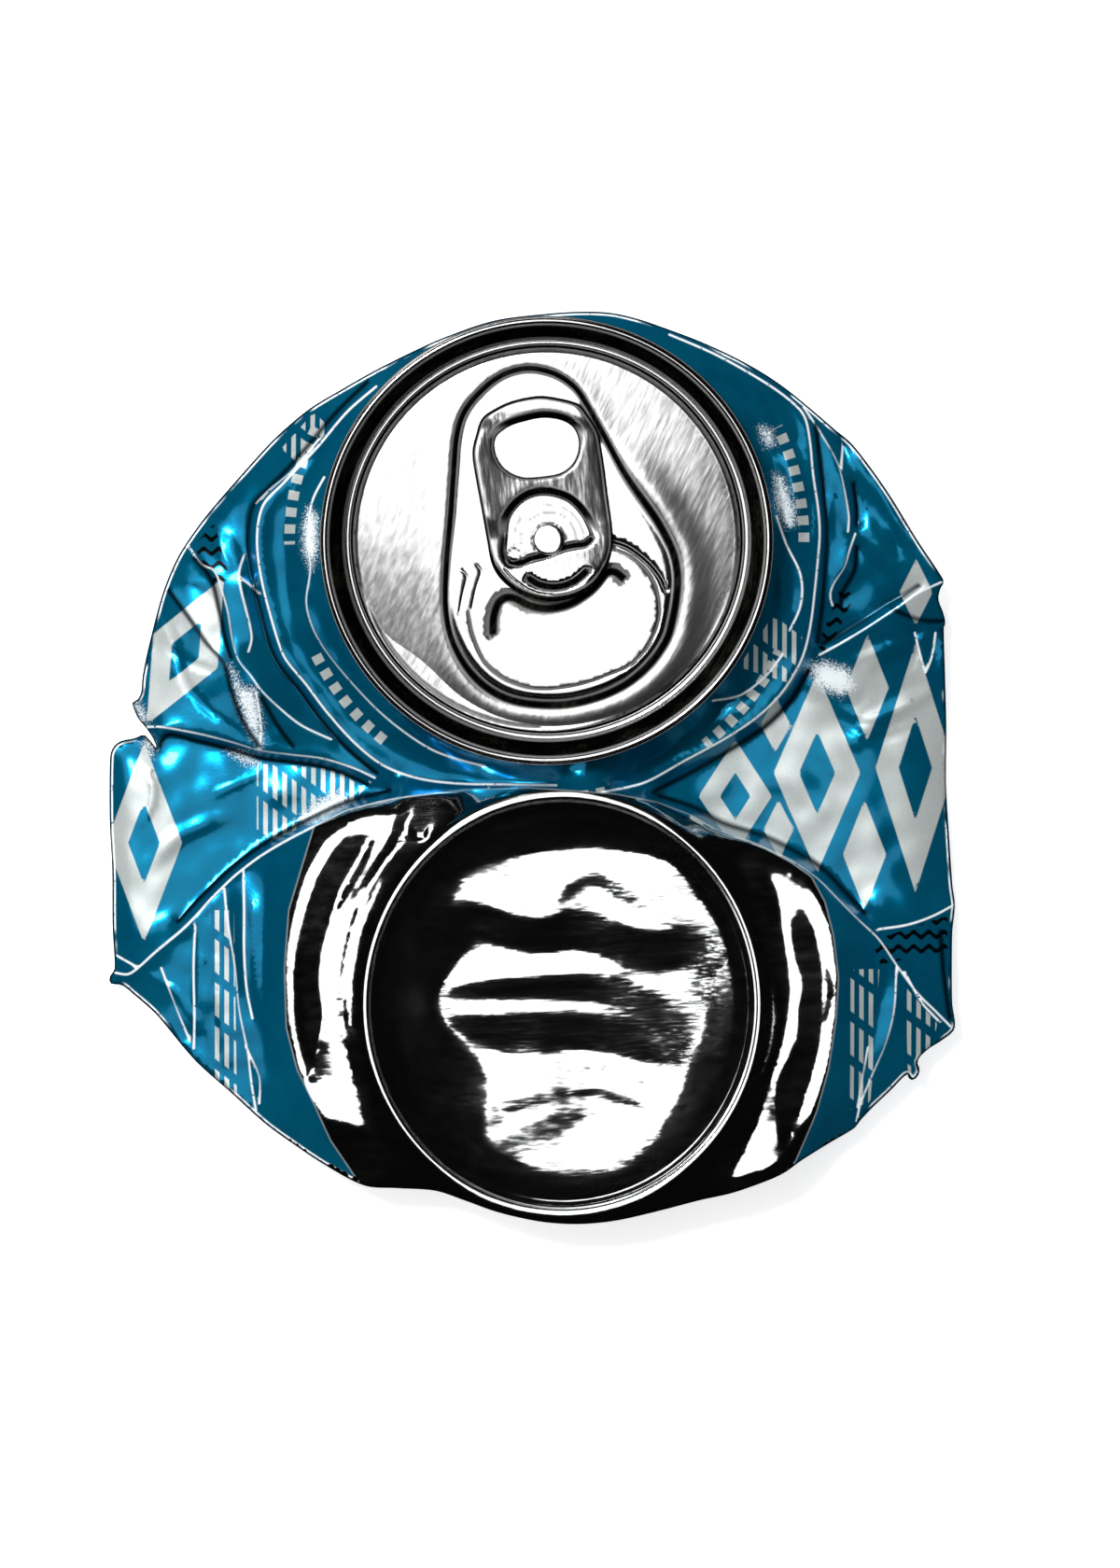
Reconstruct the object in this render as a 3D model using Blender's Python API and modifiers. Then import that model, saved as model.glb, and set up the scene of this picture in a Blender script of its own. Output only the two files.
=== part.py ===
"""A drinks can crushed flat, lying on its back.

The lid and the domed base both face up, and the can's wall is folded between them and round them. There
are three pieces: the body, with its folds and its base; the lid, with its seam, its pressed panel and its
rivet; and the pull tab that the rivet holds. Lengths are in millimetres, and heights are above the ground
that the can lies on. +Y points from the base towards the lid.
"""

import math

import bmesh
import bpy
import numpy as np
from mathutils import Matrix, Vector
from mathutils.geometry import delaunay_2d_cdt

MM = 0.001
GAP = 0.3  # clearance between two pieces that touch

# The lid: radii, and depths below the top of its seam
LID_CENTRE = Vector((1.8, 26.9, 15.6))  # centre of the seam's top
LID_TILT = math.radians(3)  # the seam's far side stands higher
SEAM_RADIUS = 26.95
SEAM_THICKNESS = 1.05
SEAM_DEPTH = 2.5
COUNTERSINK_RADIUS = 23.8
COUNTERSINK_DEPTH = 6.86
PANEL_RADIUS = 23
PANEL_DEPTH = 4.6
LID_SHEET = 0.25

# The panel's pressed teardrop wraps round two circles: centre and radius, from the rivet
TEARDROP = [((-2.5, 11.9), 8.6), ((2.2, -7.4), 14.1)]
TEARDROP_DEPTH = 0.5
RIVET_RADIUS = 1.5
RIVET_HEAD_RADIUS = 2.5
RIVET_HEAD_THICKNESS = 0.5

# The pull tab: lengths along it are from the rivet, positive towards the heel
TAB_TURN = math.radians(5.6)
TAB_THICKNESS = 1.3
TAB_NOSE = (-1, (7.6, 6.9), 2)  # centre, half width and half length, and squareness of each rounded end
TAB_HEEL = (11, (6.8, 5.6), 2.8)
FINGER_HOLE = (10.8, (5, 4.1), 2.5)
RIVET_WINDOW = (0.9, (4.8, 4), 2.3)
TONGUE = (-0.4, (2.8, 3.2), 2.6)
TONGUE_THICKNESS = 0.35
TONGUE_LIFT = 0.1  # above the tab's underside

# The base
RING_CENTRE = Vector((3.7, -28.2))
RING_AXES = Vector((23.3, 24.6))  # half the width and length of the standing ring's crest
RING_HEIGHT = 12.5
RING_WIDTH = 1.2  # from the crest to the foot of either side
RING_DROP = 2.4
DOME_DEPTH = 9.3

# How finely each surface is cut into flat facets
BODY_STEP = 2.6
TURNED_STEPS = 64
OUTLINE_STEPS = 12  # for each quarter of a rounded outline

SMALL = 0.001  # two points nearer than this are one

TAB_BOTTOM = GAP - PANEL_DEPTH - TEARDROP_DEPTH
SEAT_RADIUS = SEAM_RADIUS - 1.5 * GAP
SEAT_DEPTH = SEAM_DEPTH + 1.5 * GAP
LID_FRAME = Matrix.Translation(LID_CENTRE) @ Matrix.Rotation(LID_TILT, 4, "X")


# The can's outline from above, clockwise from the top of the lid: x, y and the height of the folded edge.
OUTLINE = [
    (1.8, 54.15, 11), (6, 54.4, 11), (9.5, 54.3, 11), (13, 53.5, 10.8), (16.5, 52.3, 10.5),
    (20, 50.9, 10), (24, 49.1, 9.5), (27.5, 47.2, 9), (30.5, 45.2, 8.2), (33.5, 42.8, 7),
    (36.3, 40.4, 5.8), (38.5, 38.4, 5), (40.5, 35.3, 4.4), (43, 31.6, 3.6), (46, 27.1, 2.9),
    (49.3, 22.4, 2), (48.7, 20.2, 2), (49.7, 17.6, 1.8), (49.7, 12, 1.8), (49.8, 5, 1.8), (49.8, -2, 1.8),
    (50.1, -8, 1.8), (50.5, -14, 1.8), (50.8, -16.5, 1.8), (50.4, -20, 1.7), (50.5, -28, 1.6),
    (50.8, -31.2, 1.6), (48.6, -33.3, 1.8), (46.5, -35.3, 2), (43, -38.6, 2.3), (39.6, -42.1, 2.7),
    (35.5, -44.9, 3.4), (31.8, -47.2, 4), (28, -49.2, 4.5), (24, -50.6, 4.9), (20, -51.5, 5),
    (15, -52.8, 5.2), (10, -53.9, 5.4), (5.5, -54.4, 5.5), (1, -54.1, 5.5), (-4, -52.9, 5.4),
    (-9, -51.8, 5.2), (-14, -51, 5), (-20, -49.8, 4.6), (-25, -47.4, 4), (-28.5, -45, 3.6),
    (-32, -42.5, 3.2), (-36, -38.9, 2.9), (-40.6, -34.9, 2.6), (-45, -29.6, 2.1), (-48, -26.6, 1.8),
    (-50.8, -25, 1.6), (-50.3, -19, 1.6), (-50.4, -12, 1.7), (-50.7, -6, 1.7), (-50.8, 1.6, 1.7),
    (-49.6, 3.2, 1.8), (-47, 3.8, 1.8), (-46.1, 3.3, 1.8), (-45.1, 2.9, 2), (-45.6, 4.3, 2.4),
    (-46.6, 5.4, 2.4), (-48, 7.9, 2.2), (-47, 9.8, 2.5), (-46.3, 13.5, 2.7), (-44.8, 19.2, 2.9),
    (-44, 22, 3), (-41.2, 27.1, 3.2), (-38.9, 30.1, 3.6), (-36, 33.3, 4), (-33, 36.9, 4.5),
    (-30, 40, 5.2), (-27, 42.3, 6), (-23, 44.9, 7), (-19, 47.2, 8.2), (-15, 49.2, 9), (-10.5, 51.3, 9.8),
    (-4.5, 53.3, 10.6),
]  # fmt: skip

# The folds that show from above: x, y and height along each crease.
SHOULDER_LEFT = [
    (-22.2, 41, 10.4), (-27.5, 36.2, 9.2), (-31.3, 32.2, 8.6), (-32.7, 27.5, 8.3), (-31.8, 20, 7.8),
    (-29.5, 13, 7.2), (-24.3, 6.5, 6.6), (-18.5, 0.6, 6.2), (-14, -1.2, 5.9), (-8, -1.5, 5.7),
]  # fmt: skip
SHOULDER_RIGHT = [
    (13, -2.2, 5.7), (17, 0.2, 6), (21, 2.2, 6.3), (25, 4.6, 6.8), (28.5, 7.6, 7.2), (31.2, 11.2, 7.6),
    (33.3, 16.2, 8), (34.2, 24, 8.7), (33.9, 33, 9.3), (32.2, 40.6, 9.7), (28.6, 44.8, 9.8),
    (23.5, 47.7, 10.4),
]  # fmt: skip
BASE_LIP = [
    (-48.8, -24.2, 2.5), (-46.3, -22.4, 3.4), (-40, -17.4, 4.7), (-35, -12.6, 5.4), (-29.5, -8.6, 6.4),
    (-22, -4.7, 8), (-14, -3.2, 9), (-5, -2.5, 9.6), (4, -2.6, 9.6), (12, -3.8, 9.2), (20, -6.8, 8.4),
    (28, -9.9, 7.6), (35.5, -14.6, 6.2), (39.4, -18.2, 5.2), (43.6, -23.4, 4.6), (49.4, -30, 2.6),
]  # fmt: skip
FLAP_LIP = [
    (-44.6, 4.8, 4.2), (-38, 3.6, 4.7), (-33, 2.6, 4.9), (-28, 1.8, 5.1), (-24.2, 1.2, 5.2),
]  # fmt: skip
BAND_LIP = [(48.4, 17.6, 3), (43.6, 18.9, 5.2), (38.2, 15.8, 5.5), (34.6, 13.9, 5.6)]
FRONT_FOLDS = [
    SHOULDER_LEFT,
    SHOULDER_RIGHT,
    BASE_LIP,
    FLAP_LIP,
    BAND_LIP,
    # the ground at the foot of each overhanging fold
    [(-33.9, 30, 5.3), (-33.9, 27, 5.2), (-33.1, 20, 5), (-30.8, 12.6, 4.8), (-25.8, 6, 4.9)],
    [(14.5, -3.4, 4.6), (22, 0.6, 3.6), (26.5, 3.6, 3.5), (30, 6.8, 3.7), (32.7, 11.1, 4)],
    [(-41.5, -16.7, 3.1), (-35.9, -11.5, 3.3), (-30.2, -7.4, 3.4), (-22.8, -3.4, 3.6)],
    [(16, -3.9, 3.5), (20.6, -5.6, 3.3), (28.5, -8.6, 3.3), (36.2, -13.5, 3.3), (41, -17.8, 3.2)],
    [(-43.6, 3.4, 3), (-38, 2.3, 3.1), (-33, 1.3, 3.2), (-27.5, 0.3, 3.4)],
    [(45.5, 19.8, 3.7), (42.6, 19.9, 4), (37.6, 17, 4), (35.2, 15.6, 4.4)],
    # the neck's buckles, inside the shoulder's fold
    [(-26.1, 29, 10.1), (-26.7, 20, 9.2), (-25.3, 15.5, 8.6), (-20, 8.8, 7.6), (-14, 3.6, 6.7)],
    [(-28, 33.4, 8.6), (-29.8, 26, 7.4), (-28.8, 17, 6.8), (-22.5, 7.6, 6), (-15.5, 1.4, 5.4)],
    [(29.8, 29.5, 10.1), (32, 22.6, 9.2), (31.4, 16.6, 8.3), (28.4, 11.8, 7.5), (24.6, 8.4, 6.8)],
    # the flap beside the lid, on the left
    [(-40, 26.2, 4.6), (-38, 23.7, 5.8), (-36.3, 17.5, 5.9), (-35, 12.8, 6.2), (-32.4, 9.4, 6.3)],
    [(-36.9, 11.8, 4.9), (-34.3, 7.6, 4.6), (-30.2, 4, 4.7)],
    [(-42.6, 19.5, 4.2), (-39.4, 15.5, 5), (-37.4, 13, 5.3)],
    [(-42.8, 14.5, 3.7), (-40.5, 9.7, 3.9), (-35.6, 4.6, 4.2)],
    # the panel beside the lid, on the right
    [(35, 39.3, 7.6), (37.6, 33, 7.1), (37.9, 27.5, 6.8), (36, 22, 6.1)],
    [(38.8, 36, 5.4), (39.4, 31, 5.1), (39.2, 26, 4.9), (37.6, 21.4, 4.4)],
    [(47.6, 21.6, 3.4), (45, 20.7, 4.6)],
    # the creases that fan out beside the base, on the left and then on the right
    [(-40.5, -21, 3.7), (-40.5, -27, 3.3), (-40.6, -32.6, 2.9)],
    [(-36.6, -16, 5.1), (-35.6, -27, 4.8), (-34.9, -32, 4.4), (-33.4, -39.6, 3.7)],
    [(-31.5, -12.4, 5.5), (-32.3, -18, 4.9), (-31.2, -29, 4.4), (-28.6, -40, 4.1)],
    [(37.8, -20, 5.1), (38, -26, 4.6), (36.6, -38, 4.1)],
    [(43.3, -26, 4.8), (42.2, -33, 4.6), (40, -38.6, 3.8)],
    [(48.6, -18, 3.2), (44, -19.6, 3.8)],
    [(48.9, -22, 3.1), (49.1, -27, 2.9)],
    # the bare lobes on either side of the standing ring: valley, crest and outer foot
    [(-17.6, -8.6, 9.2), (-21.6, -15, 8.4), (-24, -27, 7.8), (-21, -38.6, 7.4), (-15.5, -45.6, 6.9)],
    [(-20.4, -6.2, 9.7), (-25.8, -14, 9.6), (-27.6, -26, 9), (-25.6, -38, 8), (-18, -47.2, 6.8)],
    [(-27.4, -10.6, 7), (-29.8, -20, 6.3), (-29.8, -31, 5.7), (-26, -42.2, 4.6)],
    [(24.3, -12, 9.1), (27.6, -18, 8.6), (29.2, -29, 8.2), (25.6, -41, 7.6), (19.5, -48.3, 7)],
    [(28.4, -12, 9.4), (32.8, -20, 9.6), (33.2, -32, 9.2), (29.5, -43, 8), (23, -48.7, 6.6)],
    [(34.2, -15.2, 6.5), (36.7, -23, 6), (36.3, -34, 5.6), (32.9, -44, 4.6)],
    # the flat band of wall between the lid and the base
    [(-48.4, 1.4, 2.9), (-48.6, -8, 3.1), (-48.4, -18, 2.9)],
    [(-43, -4, 3.3), (-34, -1.6, 3.6)],
    [(48, 15, 3), (48, 0, 3.2), (48.4, -13, 3)],
    [(38, 8, 3.6), (33, -4, 3.4), (42, -10, 3.4)],
]  # fmt: skip

# The wall underneath: pressed flat on the ground in the middle, with creases pushed up into it.
BACK_FOLDS = [
    [
        (-22, 30, 0), (0, 38, 0), (24, 32, 0), (36, 12, 0), (38, -12, 0), (26, -34, 0), (2, -42, 0),
        (-22, -34, 0), (-36, -14, 0), (-35, 12, 0), (-22, 30, 0),
    ],
    [(-45, -22, 0.5), (-32, -26, 1.3), (-22, -38.5, 0.9), (-12, -45, 0.9)],
    [(45, -28, 0.5), (33, -30, 1.2), (20, -42, 0.9)],
    [(-42, 12, 0.6), (-33, 22, 1.3), (-20, 38, 1)],
    [(45, 18, 0.5), (35, 24, 1.3), (22, 40, 1)],
    [(-10, 46, 0.8), (4, 47.5, 0.8), (14, 45.5, 0.8)],
    [(-46.5, -16, 0.4), (-46.5, 0, 0.3)],
    [(46, 10, 0.4), (46.3, -20, 0.4)],
]  # fmt: skip


def divided(path, step):
    """A polyline whose long stretches are cut into equal parts of about one step."""
    out = [path[0]]
    for a, b in zip(path, path[1:]):
        a, b = np.array(a), np.array(b)
        parts = max(1, round(math.dist(a[:2], b[:2]) / step))
        out += [a + (b - a) * part / parts for part in range(1, parts + 1)]
    return np.array(out, float)


def oval(centre, axes, height):
    """A level oval of points at about one body step, its last point repeating its first."""
    steps = round(2 * math.pi * max(axes) / BODY_STEP)
    turns = np.linspace(0, 2 * math.pi, steps + 1)
    return np.stack(
        [centre[0] + axes[0] * np.cos(turns), centre[1] + axes[1] * np.sin(turns), np.full(steps + 1, height)],
        axis=1,
    )


def inside(points, outline):
    """Which points lie within a closed outline."""
    x, y = points.T
    within = np.zeros(len(points), bool)
    for (x0, y0), (x1, y1) in zip(outline, outline[1:]):
        if y0 != y1:
            crosses = (y0 > y) != (y1 > y)
            within ^= crosses & (x < x0 + (y - y0) * (x1 - x0) / (y1 - y0))
    return within


def cotangent_weights(points, triangles):
    """Each edge once, weighted so that the triangles' shapes don't show in a surface stretched over it."""
    edges, weights = [], []
    for k in range(3):
        i, j, far = triangles[:, k], triangles[:, (k + 1) % 3], triangles[:, (k + 2) % 3]
        u, v = points[i] - points[far], points[j] - points[far]
        twice_area = np.abs(u[:, 0] * v[:, 1] - u[:, 1] * v[:, 0])
        weights.append(0.5 * (u * v).sum(axis=1) / np.maximum(twice_area, SMALL))
        edges.append(np.sort(np.stack([i, j], axis=1), axis=1))
    unique, which = np.unique(np.concatenate(edges), axis=0, return_inverse=True)
    return unique, np.maximum(np.bincount(which.ravel(), np.concatenate(weights)), SMALL)


def relaxed(heights, pinned, edges, weights):
    """Heights that stretch evenly between the pinned ones, found by conjugate gradients."""
    a, b = edges.T

    def pull(values):
        difference = weights * (values[a] - values[b])
        total = np.bincount(a, difference, len(values)) - np.bincount(b, difference, len(values))
        return np.where(pinned, 0, total)

    stiffness = np.bincount(a, weights, len(heights)) + np.bincount(b, weights, len(heights))
    residual = -pull(heights)
    direction = residual / stiffness
    energy = residual @ direction
    heights = heights.copy()
    while energy > SMALL:
        moved = pull(direction)
        stride = energy / (direction @ moved)
        heights += stride * direction
        residual -= stride * moved
        before, energy = energy, residual @ (residual / stiffness)
        direction = residual / stiffness + (energy / before) * direction
    return heights


def stretched(outline, folds, shaped):
    """A surface over a closed outline, stretched evenly between its folds: points, and triangles.

    shaped(x, y) gives heights of its own where the surface isn't stretched, and NaN elsewhere.
    """
    lines = [outline, *folds]
    known = np.concatenate(lines)
    edges = []
    for first, line in zip(np.cumsum([0, *map(len, lines)]), lines):
        edges += [(first + i, first + i + 1) for i in range(len(line) - 1)]
    low, high = outline[:, :2].min(axis=0), outline[:, :2].max(axis=0)
    rows = np.arange(low[1], high[1], BODY_STEP * math.sqrt(0.75))
    fill = [
        (x, y)
        for row, y in enumerate(rows)
        for x in np.arange(low[0] + (row % 2) * BODY_STEP / 2, high[0], BODY_STEP)
    ]
    fill = np.array(fill)
    fill = fill[inside(fill, outline[:, :2])]
    apart = np.linalg.norm(fill[:, None] - known[None, :, :2], axis=2).min(axis=1)
    fill = fill[apart > 0.6 * BODY_STEP]

    everything = np.concatenate([known[:, :2], fill])
    within_constraints = 1
    flat, _, triangles, origins, _, _ = delaunay_2d_cdt(
        [Vector(point) for point in everything], edges, [], within_constraints, SMALL
    )
    flat, triangles = np.array([tuple(point) for point in flat]), np.array(triangles)
    heights, pinned = np.zeros(len(flat)), np.zeros(len(flat), bool)
    for i, sources in enumerate(origins):
        crossing = not sources
        from_folds = [source for source in sources if source < len(known)]
        if crossing:
            from_folds = [np.linalg.norm(known[:, :2] - flat[i], axis=1).argmin()]
        if from_folds:
            heights[i] = known[from_folds, 2].mean()
            pinned[i] = True
    own = shaped(flat[:, 0], flat[:, 1])
    pinned |= ~np.isnan(own)
    heights = np.where(np.isnan(own), heights, own)
    heights = relaxed(heights, pinned, *cotangent_weights(flat, triangles))
    return np.column_stack([flat, heights]), triangles


def seat_circle():
    """The edge of the seat under the lid's seam, its last point repeating its first."""
    steps = round(2 * math.pi * SEAT_RADIUS / BODY_STEP)
    turns = np.linspace(0, 2 * math.pi, steps + 1)
    points = [(SEAT_RADIUS * math.cos(turn), SEAT_RADIUS * math.sin(turn), -SEAT_DEPTH) for turn in turns]
    return np.array([LID_FRAME @ Vector(point) for point in points])


def front_heights(x, y):
    """Heights of the standing ring, of the dome inside it, and of the flat seat under the lid's seam."""
    across, along = (x - RING_CENTRE.x) / RING_AXES.x, (y - RING_CENTRE.y) / RING_AXES.y
    radius = RING_AXES.y * np.hypot(across, along)
    from_crest = radius - RING_AXES.y
    ring = RING_HEIGHT - RING_DROP * (from_crest / RING_WIDTH) ** 2
    edge = RING_AXES.y - RING_WIDTH
    dome = RING_HEIGHT - DOME_DEPTH + (DOME_DEPTH - RING_DROP) * (radius / edge) ** 2
    heights = np.where(from_crest < -RING_WIDTH, dome, ring)
    heights[from_crest > RING_WIDTH + SMALL] = np.nan

    seat = LID_FRAME @ Vector((0, 0, -SEAT_DEPTH))
    in_seat = np.hypot(x - seat.x, (y - seat.y) / math.cos(LID_TILT)) < SEAT_RADIUS + SMALL
    return np.where(in_seat, seat.z + math.tan(LID_TILT) * (y - seat.y), heights)


def unshaped(x, y):
    return np.full(len(x), np.nan)


def material(name, colour, roughness):
    """A painted or bare metal."""
    made = bpy.data.materials.new(name)
    made.use_nodes = True
    shader = made.node_tree.nodes["Principled BSDF"]
    shader.inputs["Base Color"].default_value = (*colour, 1)
    shader.inputs["Roughness"].default_value = roughness
    shader.inputs["Metallic"].default_value = 1
    return made


def new_collection(name):
    made = bpy.data.collections.new(name)
    bpy.context.scene.collection.children.link(made)
    return made


def new_object(name, data, collection, frame=Matrix()):
    made = bpy.data.objects.new(name, data)
    made.matrix_world = Matrix.Translation(frame.translation * MM) @ frame.to_3x3().to_4x4()
    collection.objects.link(made)
    return made


def turned(name, profile, collection, frame):
    """A profile of radius and height, from its top to its bottom, turned round the frame's Z axis."""
    mesh = bpy.data.meshes.new(name)
    points = [(radius * MM, 0, height * MM) for radius, height in profile]
    mesh.from_pydata(points, [(i, i + 1) for i in range(len(points) - 1)], [])
    made = new_object(name, mesh, collection, frame)
    screw = made.modifiers.new("turn", "SCREW")
    screw.steps = screw.render_steps = TURNED_STEPS
    screw.use_merge_vertices = True
    screw.merge_threshold = SMALL * MM
    screw.use_smooth_shade = True
    return made


def plate(name, outlines, low, high, collection, frame):
    """A flat plate between two heights. Outlines within the first are holes."""
    curve = bpy.data.curves.new(name, "CURVE")
    curve.dimensions = "2D"
    curve.fill_mode = "BOTH"
    curve.extrude = (high - low) / 2 * MM
    for outline in outlines:
        spline = curve.splines.new("POLY")
        spline.points.add(len(outline) - 1)
        for point, (x, y) in zip(spline.points, outline):
            point.co = (x * MM, y * MM, 0, 1)
        spline.use_cyclic_u = True
    drawn = new_object(name, curve, collection, frame @ Matrix.Translation((0, 0, (high + low) / 2)))
    bpy.context.view_layer.update()
    mesh = bpy.data.meshes.new_from_object(drawn.evaluated_get(bpy.context.evaluated_depsgraph_get()))
    welded = bmesh.new()
    welded.from_mesh(mesh)
    bmesh.ops.remove_doubles(welded, verts=welded.verts, dist=SMALL * MM)
    welded.to_mesh(mesh)
    welded.free()
    place = drawn.matrix_world.copy()
    bpy.data.objects.remove(drawn)
    made = bpy.data.objects.new(name, mesh)
    made.matrix_world = place
    collection.objects.link(made)
    return made


def boolean(piece, tool, operation):
    """Cut a piece with a tool, or join the tool to it."""
    tool.hide_render = True
    tool.display_type = "WIRE"
    modifier = piece.modifiers.new(tool.name, "BOOLEAN")
    modifier.object = tool
    modifier.operation = operation


def rounded_end(end, start=0, stop=360):
    """Part of a superellipse that lies across the tab's length."""
    along, (half_width, half_length), squareness = end
    steps = round(OUTLINE_STEPS * (stop - start) / 90)
    points = []
    for angle in np.radians(np.linspace(start, stop, steps, endpoint=stop - start < 360)):
        c, s = math.cos(angle), math.sin(angle)
        points.append((
            half_width * math.copysign(abs(c) ** (2 / squareness), c),
            along + half_length * math.copysign(abs(s) ** (2 / squareness), s),
        ))
    return points


def teardrop_outline():
    """The outline that wraps round the teardrop's two circles."""
    (small_centre, small), (large_centre, large) = TEARDROP
    axis = Vector(small_centre) - Vector(large_centre)
    spread = math.acos((large - small) / axis.length)
    middle = math.atan2(axis.y, axis.x)
    points = []
    for (x, y), radius, start, stop in (
        (small_centre, small, middle - spread, middle + spread),
        (large_centre, large, middle + spread, middle - spread + 2 * math.pi),
    ):
        for turn in np.linspace(start, stop, 2 * OUTLINE_STEPS):
            points.append((x + radius * math.cos(turn), y + radius * math.sin(turn)))
    return points


def make_body(parts, cutters):
    """The crushed can: front and back surfaces that meet along the outline, with a seat cut for the lid."""
    outline = divided([*OUTLINE, OUTLINE[0]], BODY_STEP)
    ring = [
        oval(RING_CENTRE, RING_AXES + Vector((out, out)), RING_HEIGHT) for out in (-RING_WIDTH, 0, RING_WIDTH)
    ]
    folds = [divided(fold, BODY_STEP) for fold in FRONT_FOLDS]
    front, front_faces = stretched(outline, [seat_circle(), *ring, *folds], front_heights)
    folds = [divided(fold, BODY_STEP) for fold in BACK_FOLDS]
    back, back_faces = stretched(outline, folds, unshaped)

    mesh = bpy.data.meshes.new("can_body")
    faces = np.concatenate([front_faces, back_faces[:, ::-1] + len(front)])
    mesh.from_pydata((np.concatenate([front, back]) * MM).tolist(), [], faces.tolist())
    closed = bmesh.new()
    closed.from_mesh(mesh)
    bmesh.ops.remove_doubles(closed, verts=closed.verts, dist=SMALL * MM)
    closed.to_mesh(mesh)
    closed.free()
    mesh.shade_smooth()
    body = new_object("can_body", mesh, parts)
    body.data.materials.append(material("printed_metal", (0.01, 0.2, 0.32), 0.3))

    wall = SEAM_RADIUS - SEAM_THICKNESS + GAP
    floor = -COUNTERSINK_DEPTH - LID_SHEET - GAP
    seat = [
        (0, SEAM_DEPTH), (SEAM_RADIUS + GAP, SEAM_DEPTH), (SEAM_RADIUS + GAP, -SEAM_DEPTH - GAP),
        (wall, -SEAM_DEPTH - GAP), (COUNTERSINK_RADIUS + 1.5, floor), (0, floor),
    ]  # fmt: skip
    boolean(body, turned("lid_seat", seat, cutters, LID_FRAME), "DIFFERENCE")
    return body


def make_lid(parts, cutters):
    """The lid: one sheet of metal, from the rolled seam to the panel, with its teardrop and its rivet."""
    inner = SEAM_RADIUS - SEAM_THICKNESS
    groove = COUNTERSINK_RADIUS
    under = COUNTERSINK_DEPTH + LID_SHEET
    top_side = [
        (0, -PANEL_DEPTH), (PANEL_RADIUS - 0.3, -PANEL_DEPTH), (PANEL_RADIUS, -PANEL_DEPTH - 0.3),
        (groove - 0.4, 0.2 - COUNTERSINK_DEPTH), (groove, -COUNTERSINK_DEPTH),
        (groove + 0.5, 0.3 - COUNTERSINK_DEPTH), (inner, -0.3), (inner + 0.25, 0),
    ]  # fmt: skip
    underside = [
        (SEAM_RADIUS - 0.3, 0), (SEAM_RADIUS, -0.4), (SEAM_RADIUS, 0.3 - SEAM_DEPTH),
        (SEAM_RADIUS - 0.3, -SEAM_DEPTH), (inner + 0.1, -SEAM_DEPTH), (groove + 0.85, 0.3 - under),
        (groove, -under), (groove - 0.7, 0.2 - under),
        (PANEL_RADIUS - 0.25, -PANEL_DEPTH - LID_SHEET - 0.1), (0, -PANEL_DEPTH - LID_SHEET),
    ]  # fmt: skip
    lid = turned("can_end", top_side + underside, parts, LID_FRAME)
    lid.data.materials.append(material("lid_metal", (0.78, 0.78, 0.76), 0.28))

    outline = teardrop_outline()
    floor = -PANEL_DEPTH - TEARDROP_DEPTH
    pan_top = -PANEL_DEPTH - LID_SHEET / 2
    pan = plate("teardrop_pan", [outline], floor - LID_SHEET, pan_top, cutters, LID_FRAME)
    boolean(lid, pan, "UNION")
    narrower = [tuple(Vector(point) * 0.97) for point in outline]
    boolean(lid, plate("teardrop_hollow", [narrower], floor, 0, cutters, LID_FRAME), "DIFFERENCE")

    head_top = TAB_BOTTOM + TONGUE_LIFT + TONGUE_THICKNESS + GAP + RIVET_HEAD_THICKNESS
    rivet = [
        (0, head_top), (RIVET_HEAD_RADIUS - 0.3, head_top), (RIVET_HEAD_RADIUS, head_top - 0.2),
        (RIVET_HEAD_RADIUS, head_top - RIVET_HEAD_THICKNESS), (RIVET_RADIUS, head_top - RIVET_HEAD_THICKNESS),
        (RIVET_RADIUS, floor - LID_SHEET / 2), (0, floor - LID_SHEET / 2),
    ]  # fmt: skip
    boolean(lid, turned("rivet", rivet, cutters, LID_FRAME), "UNION")
    return lid


def make_tab(parts, cutters):
    """The pull tab: a plate with a finger hole, and a window with the tongue that the rivet holds."""
    frame = LID_FRAME @ Matrix.Rotation(TAB_TURN, 4, "Z")
    outline = rounded_end(TAB_HEEL, 0, 180) + rounded_end(TAB_NOSE, 180, 360)
    holes = [rounded_end(FINGER_HOLE), rounded_end(RIVET_WINDOW)]
    tab = plate("pull_tab", [outline, *holes], TAB_BOTTOM, TAB_BOTTOM + TAB_THICKNESS, parts, frame)
    tab.data.materials.append(material("tab_metal", (0.7, 0.71, 0.7), 0.3))
    rivet_hole = rounded_end((0, (RIVET_RADIUS + GAP, RIVET_RADIUS + GAP), 2))
    tongue = [rounded_end(TONGUE), rivet_hole]
    low = TAB_BOTTOM + TONGUE_LIFT
    boolean(tab, plate("tongue", tongue, low, low + TONGUE_THICKNESS, cutters, frame), "UNION")
    return tab


def main():
    for obj in list(bpy.data.objects):
        bpy.data.objects.remove(obj)
    parts, cutters = new_collection("crushed_can"), new_collection("cutters")
    make_body(parts, cutters)
    make_lid(parts, cutters)
    make_tab(parts, cutters)


main()
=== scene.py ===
import math

import bmesh
import bpy
import numpy as np
from mathutils import Matrix, Vector, noise
from mathutils.geometry import delaunay_2d_cdt
from mathutils.kdtree import KDTree


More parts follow.
